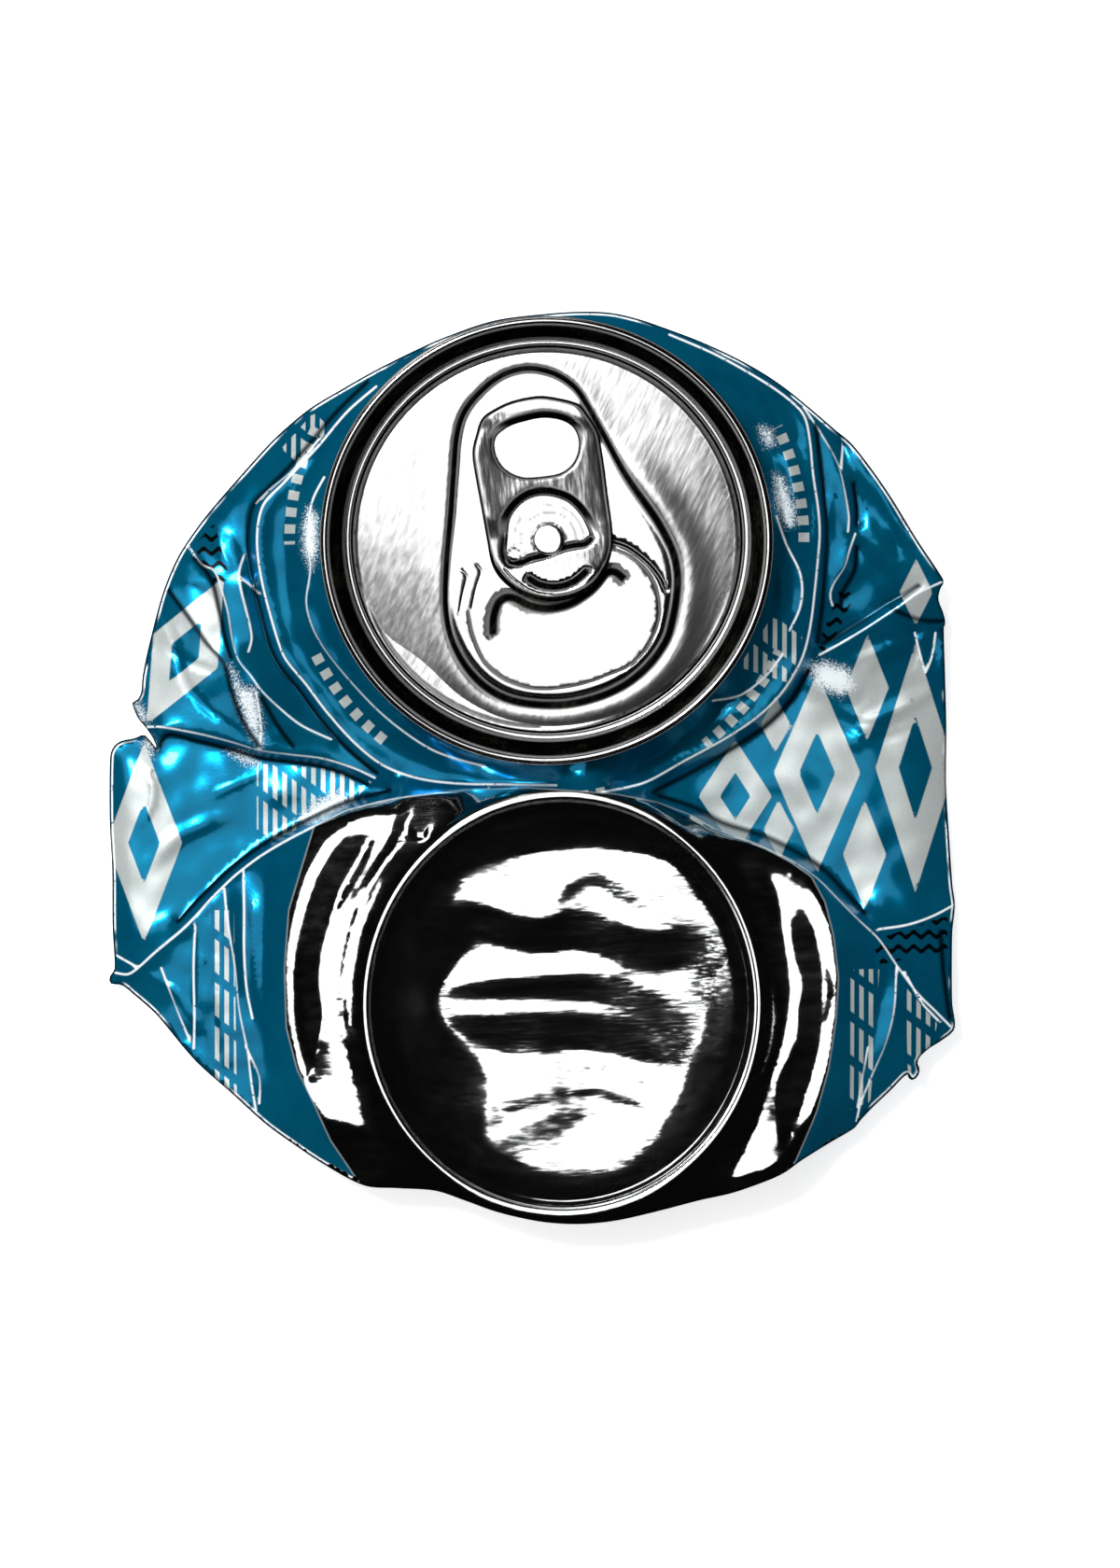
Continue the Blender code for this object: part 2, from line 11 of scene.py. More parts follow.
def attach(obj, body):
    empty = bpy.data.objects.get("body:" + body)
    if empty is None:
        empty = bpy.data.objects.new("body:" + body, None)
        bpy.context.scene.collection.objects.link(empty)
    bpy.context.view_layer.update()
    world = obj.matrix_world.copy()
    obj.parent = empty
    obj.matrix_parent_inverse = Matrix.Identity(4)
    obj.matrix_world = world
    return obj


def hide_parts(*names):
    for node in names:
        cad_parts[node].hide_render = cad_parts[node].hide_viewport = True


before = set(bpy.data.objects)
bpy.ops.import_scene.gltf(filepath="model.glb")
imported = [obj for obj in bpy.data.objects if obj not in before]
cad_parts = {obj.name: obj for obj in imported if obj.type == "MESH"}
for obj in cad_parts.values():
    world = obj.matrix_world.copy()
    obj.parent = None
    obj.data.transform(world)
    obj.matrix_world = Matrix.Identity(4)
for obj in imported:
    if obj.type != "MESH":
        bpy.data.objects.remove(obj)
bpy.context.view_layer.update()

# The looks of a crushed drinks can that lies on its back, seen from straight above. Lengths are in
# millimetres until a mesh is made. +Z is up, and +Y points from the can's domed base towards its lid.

MM = 0.001
IN_METRES = Matrix.Diagonal((MM, MM, MM, 1))
SMALL = 0.001
FAR = 6

# ---------------------------------------------------------------------------------------------------------
# The can's folds. Each point is x, y and height.
# ---------------------------------------------------------------------------------------------------------

OUTLINE = [
    (1.8, 54.1, 11), (6, 54.35, 11), (9.5, 54.2, 11), (13, 53.4, 10.8), (16.5, 52.2, 10.5), (20, 50.9, 10),
    (24, 49.1, 9.5), (27.5, 47.2, 9), (30.5, 45.2, 8.2), (33.5, 42.8, 7.4), (36.3, 40.4, 7.3),
    (38.2, 38.8, 7.4), (40.5, 35.9, 7.4), (43, 32.3, 7.2), (46, 27.4, 6.9), (49.3, 22.4, 6.2),
    (48.9, 21.4, 5.6), (48.7, 20.2, 4.9), (49.3, 18.6, 4.3), (49.6, 17.4, 3.9),
    (49.4, 16.9, 3.7), (49.55, 12, 3.1), (49.75, 5, 2.5), (49.75, -2, 1.8), (50.1, -8, 1.8), (50.5, -14, 1.8),
    (50.8, -16.5, 1.8), (50.45, -20, 2.6), (50.4, -28, 3.6), (50.7, -31.2, 4), (49.2, -32.6, 4.6),
    (47.6, -33.6, 5), (46.4, -34.7, 5.4), (46.2, -35.5, 5.4), (46.5, -36.1, 5.3), (46.1, -37.1, 5.2),
    (45.3, -37.4, 5.2), (44.9, -36.7, 5.3), (43, -38.6, 5.2), (40.9, -40.6, 5), (39.4, -42.2, 4.8),
    (38.6, -43.2, 4.7), (35.5, -45, 5.6), (32.2, -46.9, 8.8), (30.2, -48.3, 9.6), (28, -49.3, 10),
    (24, -50.7, 10), (20, -51.6, 10.1), (15, -52.9, 10.1), (10, -54, 10.6), (5.5, -54.4, 10.7),
    (1, -54.1, 10.7),
    (-4, -53, 10.5), (-8, -51.6, 10.1), (-11.5, -50.5, 8.8), (-16, -50.2, 8.7), (-20, -49.9, 8.3),
    (-24.5, -47.6, 7.4), (-28.5, -45, 6.6), (-32, -42.5, 5.7), (-36, -38.9, 5.2), (-40.4, -35, 4.4),
    (-45, -29.6, 3.4), (-47.8, -27.2, 1.8), (-49.2, -26.1, 1.7), (-50.6, -25.9, 1.6), (-50.7, -25.1, 1.6),
    (-50.1, -24.1, 1.6), (-50.35, -19, 1.6), (-50.4, -12, 1.7), (-50.7, -6, 1.7), (-50.65, 1.2, 1.7),
    (-50.3, 2.4, 1.8), (-49.4, 3.2, 1.8), (-47.6, 3.6, 1.8), (-46.6, 4, 1.8), (-45.9, 3.4, 1.8),
    (-45, 2.3, 2), (-45.5, 3.6, 2.4), (-46.3, 4.8, 2.4), (-47.3, 6, 2.4), (-48, 7.9, 2.2), (-47.4, 8.1, 2.4),
    (-46.9, 9, 2.5), (-46.7, 11, 2.6), (-46.1, 14, 2.7), (-44.8, 19.2, 2.9), (-43.9, 22, 3), (-42.6, 25, 3.1),
    (-41.2, 27.3, 3.2), (-38.9, 30.4, 3.6), (-35.6, 34.2, 4.3), (-31.7, 38.5, 5.2), (-29.6, 40.5, 5.7),
    (-26.5, 43, 6.5), (-22.6, 45.3, 7.4), (-19, 47.3, 8.3), (-15, 49.3, 9), (-10.5, 51.3, 9.8),
    (-4.5, 53.3, 10.6),
]  # fmt: skip

# Sharp folds that stand up and catch the light.
RIDGES = [
    # collar on the left: its outer fold
    [(-18.5, 45.4, 11.4), (-22, 42.4, 10.6), (-25.5, 38.3, 9.8), (-29.6, 34, 9), (-31.8, 31.8, 8.6),
     (-32.6, 29.6, 8.4), (-32.8, 26.6, 8.2), (-32.4, 23.2, 8), (-31.6, 19.6, 7.7), (-30.2, 14.8, 7.4),
     (-29.3, 12.8, 7.2), (-27, 10, 6.9), (-24.6, 6.8, 6.6), (-21.2, 3, 6.3), (-17.6, 0.2, 6.1),
     (-13.4, -1.3, 6), (-8.6, -1.9, 5.9), (-3, -2, 5.8), (3, -2.1, 5.7)],
    # collar on the left: its inner fold, close to the seam
    [(-24.7, 34.6, 11.4), (-26.2, 31.6, 10.5), (-26.7, 27.5, 10), (-26.4, 23.6, 9.6), (-26.9, 20, 9.2),
     (-26.4, 17.4, 8.9), (-25.2, 14.9, 8.6), (-23.4, 12.4, 8.3), (-21, 9.6, 7.9), (-18.4, 6.9, 7.5),
     (-15.4, 4.4, 7.1), (-12, 2.2, 6.9), (-8.8, 1, 6.7), (-5.6, 0.2, 6.6)],
    # double ridge above the collar
    [(-33, 31.6, 6.9), (-31.4, 33.2, 7.4), (-29.4, 34.8, 7.9), (-27.4, 36.8, 8.4), (-25.4, 39.2, 8.9)],
    # flap on the left: its ridges
    [(-41.2, 26.7, 4.2), (-39.6, 24.4, 5.4), (-38, 23.6, 5.9), (-37.2, 21.6, 6), (-36.4, 18.8, 6),
     (-35.8, 15.2, 6.1), (-35.1, 12.9, 6.3), (-33.6, 11, 6.3), (-32.3, 9.2, 6.5), (-30, 7, 6.1),
     (-27.4, 5, 5.8), (-24, 3.4, 5.4)],
    [(-34.4, 25.5, 5.7), (-35, 23.4, 6.2), (-34.8, 21.5, 6.3), (-34.3, 19.4, 6.3), (-33.7, 17, 6.3),
     (-33.5, 15.4, 6.2), (-33.9, 13.9, 5.8)],
    [(-34.9, 22.8, 6.2), (-33.6, 21.8, 6.1), (-32.7, 20.9, 5.9)],
    [(-33, 9, 6.2), (-32.6, 6.6, 5.4), (-32.4, 4.4, 5.1), (-32.6, 2.6, 4.9)],
    # the flap's lower edge, over the band of wall
    [(-46.2, 4.9, 2.5), (-44.4, 4.9, 4.1), (-40, 4.1, 4.5), (-36, 3.1, 4.8), (-32.6, 2.1, 4.9),
     (-29, 1.6, 5), (-25, 1.1, 5.1), (-21.4, 0, 5.1), (-18.8, -1.2, 5)],
    # collar on the right: its outer fold
    [(8.4, -2.9, 6), (13.4, -1.8, 6.1), (18.4, 0.9, 6.6), (23, 3.4, 7), (27, 6.1, 7.4), (30, 9.1, 7.8),
     (32, 12.4, 8.1), (32.8, 14.6, 8.2), (33.4, 17.6, 8.3), (33.8, 21, 8.4), (34.2, 25, 8.6),
     (34.4, 28, 8.7), (34.2, 31, 8.9), (33.6, 35, 9.2), (33.2, 39, 9.5), (32.5, 42, 9.7), (30.6, 44, 9.9),
     (27.4, 46.2, 10.3), (22, 49.2, 11), (16.4, 51.6, 11.4)],
    # second fold on the right, and the crumple beside it
    [(32.5, 43.1, 8.5), (34.5, 40, 8.4), (36.5, 36.5, 8.1), (37.3, 33.5, 8), (37.9, 30, 7.9),
     (37.8, 28.2, 7.7)],
    [(38.7, 28, 7.2), (38, 26, 7.4), (37.4, 24, 7.3), (36.1, 22, 7), (35.7, 20.6, 6.8), (36, 19.4, 6)],
    [(37.3, 39.4, 6.8), (37.1, 37.4, 7), (37, 35.8, 7.4)],
    # the band's upper edge, lying over the panel above it, and the pinch at its corner
    [(49.2, 22.3, 6.2), (46, 20.8, 6), (44.6, 19.8, 5.9), (43.4, 18.9, 5.9), (40, 16.7, 5.9), (37, 14.9, 6),
     (34.4, 13.5, 6)],
    [(45.9, 16.2, 3.6), (46.6, 13.4, 3.5), (47.2, 11.4, 3.4)],
    [(48.4, 16.2, 3.2), (48, 13.4, 3.2), (47.2, 11.4, 3.4)],
    # creases on the neck, right of the lid
    [(29.2, 30, 10.4), (30.4, 26.6, 9.9), (31.9, 23.6, 9.4), (32.3, 21.4, 9.1), (32, 19, 8.8),
     (30.8, 16.4, 8.5)],
    [(21.6, 8, 7.4), (25, 8.7, 7.5), (28, 11, 7.8), (30, 13.6, 8.2)],
    # the base's lobes, over the band
    [(-50, -24.6, 1.7), (-48.2, -24.7, 3), (-45, -22, 4.2), (-42, -19.5, 5), (-40, -17.5, 5.2),
     (-38.5, -15.8, 5.3), (-37, -14.3, 5.4), (-35.4, -12.8, 5.6), (-32.5, -10.6, 6.2), (-29.5, -8.8, 6.8),
     (-26, -7, 8), (-22, -5.2, 8.8), (-16, -3.7, 9.3), (-8, -2.9, 9.7)],
    [(11, -3.6, 10), (15, -4.4, 9.8), (19, -5.9, 9.5), (22, -7.6, 9.6), (27, -9.2, 9.6), (31, -11.1, 9.4),
     (34, -13.1, 9.4), (36.5, -15.6, 8.4), (39, -18.1, 7.2), (41.5, -20.5, 6.9), (43.5, -23.4, 6.9),
     (46, -26.8, 6.4), (48.5, -29.3, 5.4), (50.2, -31, 4.1)],
    # creases at the lower left corner, and those that fan out from it
    [(-49.9, -22.5, 1.8), (-48.6, -23.2, 2.7), (-47.3, -23.9, 3.2)],
    [(-36.8, -14.6, 5.4), (-36.3, -19, 5.6), (-35.5, -24, 5.5), (-35, -29, 5.6), (-34, -34, 5.7),
     (-33.5, -38, 5.6), (-33, -41, 5.4)],
    [(-34.5, -12.2, 6), (-34.4, -17, 6.3), (-34.4, -22, 6.4), (-34.1, -26.5, 6.1), (-33.4, -30, 5.9)],
    [(-40.3, -19, 4.9), (-40.5, -24, 4.7), (-40.4, -30, 4.6), (-40.5, -33.6, 4.3)],
    [(-44.4, -24, 4), (-42.5, -29, 4.1), (-41, -32.6, 4.1)],
    [(-34.2, -33.4, 5.8), (-32.6, -37, 6), (-32.6, -40.2, 5.8)],
    # creases at the lower right corner
    [(50.6, -16.5, 1.9), (48, -17.8, 3.8), (45, -18.8, 4.8), (41.6, -19.3, 6)],
    [(43.6, -24, 7.1), (43.3, -29, 7.4), (42.3, -33, 7.2), (40.6, -37, 6.5), (39.3, -40.4, 5.7),
     (38.9, -42.4, 5)],
    [(44.6, -24.4, 6.6), (46.6, -28, 6.2), (48.8, -30.4, 5.1)],
    [(40.2, -33.4, 6.9), (39.4, -38, 6.3), (39, -40.6, 5.7)],
]  # fmt: skip

# Sharp folds at the foot of a step.
FEET = [
    [(-19.6, 46, 9.9), (-23.4, 42.3, 9.3), (-26.6, 38.6, 8.2), (-29.4, 35.5, 7.2), (-31.6, 33.4, 6.3),
     (-33.2, 31.6, 5.9), (-33.8, 29.6, 5.7), (-34, 26.6, 5.5), (-33.5, 23, 5.4), (-32.5, 18.8, 5.2),
     (-31.2, 14.2, 5.1), (-29.9, 11.8, 5), (-27.6, 9, 5), (-25.3, 5.8, 5), (-22, 2.2, 4.9),
     (-18.6, -0.6, 4.8)],
    [(-40.4, 25.1, 3.9), (-38.4, 22.6, 4.9), (-37.4, 18.8, 5), (-36.7, 15.4, 5.2), (-36, 13.2, 5.8)],
    [(-43.6, 21.4, 3.5), (-41, 17.9, 4.6), (-39, 15, 5.1), (-36.9, 12.6, 5.6), (-35.9, 9, 5.4),
     (-34.4, 5.2, 5.1), (-32.6, 2.6, 4.9)],
    [(-32.3, 8.4, 6.1), (-30.4, 5, 5.4), (-28.6, 2.6, 5)],
    [(-44.7, 2.6, 2.4), (-43.6, 4, 2.7), (-40, 3.2, 2.9), (-36, 2.2, 3.1), (-32.6, 1.2, 3.2),
     (-29, 0.7, 3.3), (-25.4, 0.2, 3.5), (-22, -0.9, 3.7), (-19.8, -2, 3.9)],
    [(14.6, -2.9, 4.6), (19.2, -0.5, 3.8), (23.8, 2.2, 3.7), (28, 5, 3.7), (31.1, 8.2, 3.8),
     (33.1, 11.6, 4.2)],
    [(34.2, 15, 6), (34.7, 19, 6.6), (35.1, 24, 7), (35.3, 28, 7.2), (35, 32, 7.5), (34.4, 37, 8),
     (33.9, 41, 8.2)],
    [(38.5, 34, 6.4), (38.9, 31, 6.1), (38.9, 29, 6)],
    [(38.9, 26.4, 6), (38.6, 23.6, 5.8), (37.2, 21, 5.4), (37, 19.4, 5)],
    [(46.3, 21.8, 5.6), (44.2, 20.5, 5.2), (42.8, 19.9, 5.1), (39.6, 17.7, 5), (36.7, 15.9, 5.1),
     (34.9, 14.9, 5.5)],
    [(43.4, 18.9, 5.9), (45.8, 17.9, 4.9), (47.6, 17.6, 4.4), (49.5, 17.6, 3.9)],
    [(-42.4, -18.4, 3.2), (-39.4, -15.2, 3.3), (-36, -12, 3.4), (-33, -9.7, 3.4), (-30, -7.9, 3.5),
     (-26.4, -6, 3.7), (-22.4, -4.2, 4), (-17, -2.7, 4.3)],
    [(15.4, -3.4, 4.2), (19.6, -4.8, 3.6), (22.8, -6.6, 3.4), (27.8, -8.2, 3.3), (31.9, -10.2, 3.3),
     (35, -12.2, 3.3), (37.5, -14.8, 3.3), (39.9, -17.4, 3.5)],
    [(49, -19.6, 3.4), (49.4, -25, 3.9), (50.1, -30, 4)],
]  # fmt: skip

# Lesser folds, seen from above: how far each stands up, or down where it is negative, its half-width and
# its points.
FINE_FOLDS = [
    (0.24, 0.55, [(-23.6, 44.2), (-24.6, 43), (-26.8, 39.8), (-27.6, 38)]),
    (-0.2, 0.55, [(-44.5, 19.3), (-43, 15.8), (-41, 9.4), (-34.8, 3.8), (-32.6, 2.1)]),
    (0.24, 0.55, [(-32, 8), (-31.2, 5.6), (-30.2, 3.2)]),
    (0.2, 0.55, [(-30.4, 6.6), (-29.2, 3.6)]),
    (0.24, 0.55, [(-36.2, 2.4), (-34.6, 1.6), (-33.2, 0.6)]),
    (0.2, 0.55, [(-38.4, -3.4), (-35, -1.8), (-32, -0.4)]),
    (0.2, 0.55, [(-43.4, 22.6), (-41, 22.6), (-38.4, 21.6)]),
    (0.2, 0.55, [(-36.4, 28), (-35.4, 25.6), (-34.8, 24)]),
    (-0.2, 0.55, [(-44, 14.6), (-40.6, 12.4), (-37.4, 11.4)]),
    (0.2, 0.55, [(-29, 31), (-28.4, 26), (-28, 21.6)]),
    (0.2, 0.55, [(-46.6, 1), (-45.4, -3), (-46.6, -7)]),
    (0.22, 0.55, [(35.3, 41.6), (36.6, 39), (37.2, 35.8)]),
    (0.2, 0.55, [(35.9, 35), (35.5, 31), (35.8, 27)]),
    (0.22, 0.55, [(27.4, 42.4), (28.6, 39), (30, 34.6), (31.6, 29.6)]),
    (-0.2, 0.55, [(28.6, 36.4), (29.6, 33), (30, 29.6)]),
    (0.2, 0.55, [(28.8, 25), (29.8, 21), (30, 16.6)]),
    (0.22, 0.55, [(21, 4.4), (25.4, 8.6), (28.8, 12.4)]),
    (0.22, 0.55, [(35, 8.6), (40, 6), (45, 7.4), (49, 10)]),
    (-0.2, 0.55, [(36, 6.4), (41, 3.4), (46, 4.6)]),
    (0.22, 0.55, [(37.4, 12.4), (43, 14.6), (48.6, 16)]),
    (0.2, 0.55, [(41.4, 16.8), (45, 14), (49, 13)]),
    (-0.2, 0.55, [(45.6, 17.6), (46.2, 14.4), (45, 11.4)]),
    (0.22, 0.55, [(39, 29), (40.6, 25), (41.4, 21)]),
    (0.22, 0.55, [(38, 38.4), (39.6, 35), (40.2, 31)]),
    (-0.2, 0.55, [(40.8, 34), (43, 29), (44.4, 25)]),
    (0.2, 0.55, [(-46.6, -24.6), (-43, -26.6), (-40, -30.6)]),
    (0.2, 0.55, [(-38.6, -17), (-38.2, -23), (-38.8, -30), (-37.6, -36)]),
    (-0.2, 0.55, [(-37.2, -18), (-36.8, -26), (-36.4, -34)]),
    (0.2, 0.55, [(-33.4, -16), (-33, -23), (-32.6, -30)]),
    (0.2, 0.55, [(-31.4, -22), (-31.2, -29), (-30.4, -35)]),
    (0.22, 0.55, [(41.8, -21), (41.4, -26), (40, -31)]),
    (0.2, 0.55, [(38.6, -20), (39.2, -26), (38, -33)]),
    (0.2, 0.55, [(46, -20.4), (47.4, -24), (49.4, -27.4)]),
    (0.2, 0.55, [(37, -38), (38, -34), (38.4, -30)]),
    # wider swells
    (0.45, 2.2, [(32.6, 9.4), (36, 10), (39.4, 8.6)]),
    (0.4, 1.8, [(38, 2.4), (42, 6), (48.6, 9.6)]),
    (0.35, 1.6, [(39.6, 12), (44, 14.6), (48.4, 15.4)]),
    (0.4, 1.8, [(38.8, 32), (41, 27), (43.6, 23.6)]),
    (0.35, 1.5, [(39.4, 36), (42.6, 31), (45.6, 26.4)]),
    (0.95, 1.5, [(30, 38.4), (31.2, 34.6), (31.6, 31), (31.4, 27.6)]),
    (0.8, 1.2, [(26, 43.6), (28, 40.8), (29.2, 37.6)]),
    (0.5, 1, [(20, 48.2), (25, 46), (29, 42.8), (31.2, 39)]),
    (0.6, 1.1, [(29.6, 25.6), (30, 22.4), (29.6, 19)]),
    (0.5, 1.2, [(18, 2.8), (23, 5.6), (27, 8.4)]),
    (0.35, 1.3, [(-27.6, 32), (-27.8, 28), (-27.2, 23)]),
    (0.35, 1.5, [(-38.6, 30.6), (-37, 26), (-35.6, 23.6)]),
    (0.3, 1.6, [(-46, -12), (-42, -8), (-36, -5.6)]),
    (0.35, 1.4, [(-39.4, -18), (-39.6, -26), (-39.8, -32)]),
    (0.35, 1.4, [(-37, -20), (-37, -28), (-36.6, -36)]),
    (0.3, 1.4, [(39.6, -21), (40.2, -28), (39, -36)]),
    (0.3, 1.4, [(46, -22), (47.6, -26), (49, -28.6)]),
]  # fmt: skip

# Soft folds: the surface passes through these, and is rounded over afterwards.
ROLLS = [
    # valley between the collar's two folds on the left, and the trough next to the seam
    [(-24, 38.6, 9.8), (-28, 33.6, 8.4), (-29.8, 28, 7.5), (-29.4, 21, 7), (-28.6, 16, 6.7),
     (-26.6, 12.6, 6.5), (-23, 7.6, 6.1), (-18.8, 3.4, 5.8), (-13.6, 0.4, 5.6), (-7.6, -0.8, 5.5)],
    [(-25.6, 22, 8.6), (-25.2, 18, 8), (-23, 14, 7.4), (-19.4, 9.4, 6.8), (-15, 5.2, 6.3), (-9.4, 2, 6),
     (-2, 0.2, 5.9)],
    # the neck on the right
    [(13, 0.4, 5.7), (19, 3, 6), (23.6, 6, 6.4), (27, 9.2, 6.9), (29.4, 13.4, 7.4)],
    [(30, 19, 8.2), (30.6, 24, 8.8), (30.2, 28, 9.4)],
    [(32.8, 26, 8.2), (32.9, 31, 8.5), (31.8, 37, 8.9), (29.4, 42, 9.4)],
    [(31.7, 29.4, 9.4), (31.5, 32.6, 9.8), (30.6, 36, 10.1), (29, 40, 10.4), (27, 43, 10.8)],
    [(29.6, 29.4, 9.1), (29.3, 32.6, 9.2), (28.6, 36.4, 9.6), (27.2, 39.8, 10)],
    [(36, 27, 7.5), (36.2, 31, 7.7), (35.7, 35, 8), (34.6, 38.6, 8.3)],
    [(35.7, 24, 6.9), (36.6, 28, 7.1), (36.9, 32, 7.3)],
    # the panels above
    [(-37, 27, 5.3), (-36.6, 31, 5.4), (-34.6, 33.6, 5.5)],
    [(-38, 20, 5.1), (-41.8, 22.6, 3.9)],
    [(-43, 15, 3.9), (-40.5, 9.7, 4.6), (-36.6, 5.2, 4.8)],
    [(39.6, 33.4, 6.9), (41, 28, 6.6), (42.4, 23.6, 6.1)],
    [(41.6, 30.4, 6.9), (44.6, 25, 6.4)],
    # the band of wall
    [(-48.4, 1.4, 2.9), (-48.7, -8, 3.2), (-48.4, -20, 2.9)],
    [(-45.6, 0, 3.3), (-46, -8, 3.4), (-45.4, -17, 3.3)],
    [(-40, -2.4, 3.3), (-36, -1.4, 3.5), (-33, -1.4, 3.7)],
    [(-38, -7, 3.1), (-33, -5.4, 3.3), (-28, -3.6, 3.6)],
    [(-30.4, -3, 4.3), (-27.6, -3.6, 4.5)],
    [(48.2, 15, 2.9), (48.3, 0, 3.1), (48.8, -13, 2.9)],
    [(45.4, 10, 3.7), (45.4, -4, 3.7), (45.8, -14, 3.4)],
    [(36, 11.6, 5), (38.4, 13.4, 5)],
    [(38, 8, 4.2), (40.6, 0, 3.9), (41, -9, 3.8)],
    [(32, 2, 3.9), (32.4, -4, 3.8)],
    # the blue panels beside the lobes
    [(-33.3, -14, 6.5), (-33.1, -20, 6.7), (-32.8, -26, 6.4)],
    [(-31.7, -14, 6.5), (-31.6, -22, 6.6), (-31.6, -30, 6.4), (-30, -38, 6.4)],
    [(-38.4, -20, 5), (-38, -28, 4.9), (-37.4, -34, 4.8)],
    [(37.6, -19, 9.2), (38.2, -26, 9.2), (37.6, -34, 8.8), (35.8, -41, 8)],
    [(40.6, -23.4, 7.1), (40.7, -29, 7), (39.4, -35, 6.4)],
    [(46.4, -22.4, 4.9), (47.8, -26.4, 4.8)],
    # the left lobe, from the standing ring outwards: valley, crest, shoulder and foot
    [(-14.6, -7.2, 10.8), (-19, -13, 10.8), (-21.6, -20, 10.7), (-22.2, -27, 10.6), (-21, -34, 10.3),
     (-17.6, -41.6, 10.5), (-12.4, -47.6, 10)],
    [(-17, -6, 11), (-21, -11.6, 11.4), (-23.8, -19, 11.5), (-24.6, -26, 11.5), (-23.8, -33, 11),
     (-21, -39.6, 10.7), (-16.6, -45, 10.3)],
    [(-21, -8.4, 10.4), (-25.4, -15, 10.4), (-27.2, -22, 10.2), (-27.4, -29, 9.9), (-26, -36, 10.2),
     (-22.4, -42.4, 10.5)],
    [(-25.8, -8.4, 8.8), (-28.6, -15, 9.1), (-29.6, -22, 9.2), (-29.4, -30, 9), (-28, -36.6, 9.9),
     (-24.6, -43, 10.3)],
    # the right lobe, likewise
    [(22.6, -9.6, 11.2), (26.6, -15, 11), (29.2, -21, 11), (30, -28, 11), (28.6, -36, 10.9),
     (24.6, -43.4, 10.9), (18, -49, 10.4)],
    [(27.6, -11.4, 11), (31, -17, 11.1), (31.8, -25, 11.1), (31.4, -34, 11), (29, -42, 11.1),
     (24, -47.4, 10.9)],
    [(31, -12.6, 10.9), (34, -18, 11.1), (34.7, -26, 11.2), (34, -35, 11.2), (31.6, -42.6, 11.1)],
    [(34.4, -14.6, 10.8), (36.4, -20, 11.3), (36.7, -26, 11.4), (36, -35, 11.4), (33.6, -43, 11.2)],
]  # fmt: skip

# The wall underneath, pressed flat on the ground in the middle.
BACK_CREASES = [
    [(-22, 30, 0), (0, 38, 0), (24, 32, 0), (36, 12, 0), (38, -12, 0), (26, -34, 0), (2, -42, 0),
     (-22, -34, 0), (-36, -14, 0), (-35, 12, 0), (-22, 30, 0)],
    [(-48, -24, 0.9), (-45, -22, 0.6), (-32, -26, 1.3), (-22, -38.5, 1.1), (-12, -45, 1)],
    [(48.4, -30, 0.9), (45, -28, 0.5), (33, -30, 1.2), (20, -42, 1.1)],
    [(-45, 13, 1.4), (-42, 12, 0.7), (-33, 22, 1.3), (-20, 38, 1.1)],
    [(47, 20, 0.9), (45, 18, 0.5), (35, 24, 1.3), (22, 40, 1.2)],
    [(-10, 46, 1), (4, 47.5, 1), (14, 45.5, 1)],
    [(-46.5, -16, 0.4), (-47, -6, 0.7), (-46.5, 0, 0.3)],
    [(46, 10, 0.4), (47, -4, 0.7), (46.3, -20, 0.4)],
    [(-45, -22, 0.6), (-40, -10, 0.9), (-41, 2, 0.4)],
    [(45, 18, 0.5), (41, 6, 0.8), (43, -8, 0.4)],
]  # fmt: skip

# The standing ring and the dome inside it
RING_CENTRE = Vector((3.7, -28.2))
RING_AXES = Vector((23.3, 24.6))
RING_HEIGHT = 12.5
# from the crest inwards (negative) and outwards: how far each point lies below the crest
RING_PROFILE = [
    (-2.6, 1.95), (-2.2, 1.63), (-1.8, 1.32), (-1.45, 1.06), (-1.3, 0.95), (-1.2, 0.92), (-1.1, 0.9),
    (-0.95, 0.8), (-0.75, 0.62), (-0.65, 0.59), (-0.55, 0.57), (-0.42, 0.46), (-0.28, 0.23), (-0.12, 0.05),
    (0, 0),
    (0.35, 0.02), (0.52, 0.1), (0.68, 0.23), (0.88, 0.42), (1.15, 0.67), (1.4, 0.86),
]  # fmt: skip
# the outer half of the crest is broader at the ring's top and bottom: by how much, and from where to where
CREST_SHARE = 0.85
CREST_WIDTH = (0.6, 1.4)
CREST_ENDS = (0.75, 0.95)

# The lid, and the seat and the pit under it
LID_CENTRE = Vector((1.8, 26.9, 15.6))
LID_TILT = math.radians(3)
LID_OVAL = 0.99
LID_FRAME = (
    Matrix.Translation(LID_CENTRE) @ Matrix.Rotation(LID_TILT, 4, "X") @ Matrix.Diagonal((1, LID_OVAL, 1, 1))
)
SEAT_RADIUS = 25.9
SEAT_DEPTH = 3.2
SEAT_POINTS = 300
PIT_SHARE = 0.98
PIT_DEPTH = 8

# ---------------------------------------------------------------------------------------------------------
# Curves, points and meshes
# ---------------------------------------------------------------------------------------------------------

TURN = 2 * math.pi
CURVE_STEPS = 8
MERGE_DISTANCE = 1e-4
LEAST_AREA = 1e-7
LEAST_WEIGHT = 1e-4
MOST_STEPS = 3000
LEAST_ENERGY = 1e-7
SLIVER = 1e-6


def smooth_step(value, low, high):
    """0 below low, 1 above high, and a smooth ramp between."""
    t = np.clip((value - low) / (high - low), 0, 1)
    return t * t * (3 - 2 * t)


def fading(value, low, high):
    """1 below low, 0 above high, and a smooth ramp between."""
    return 1 - smooth_step(value, low, high)


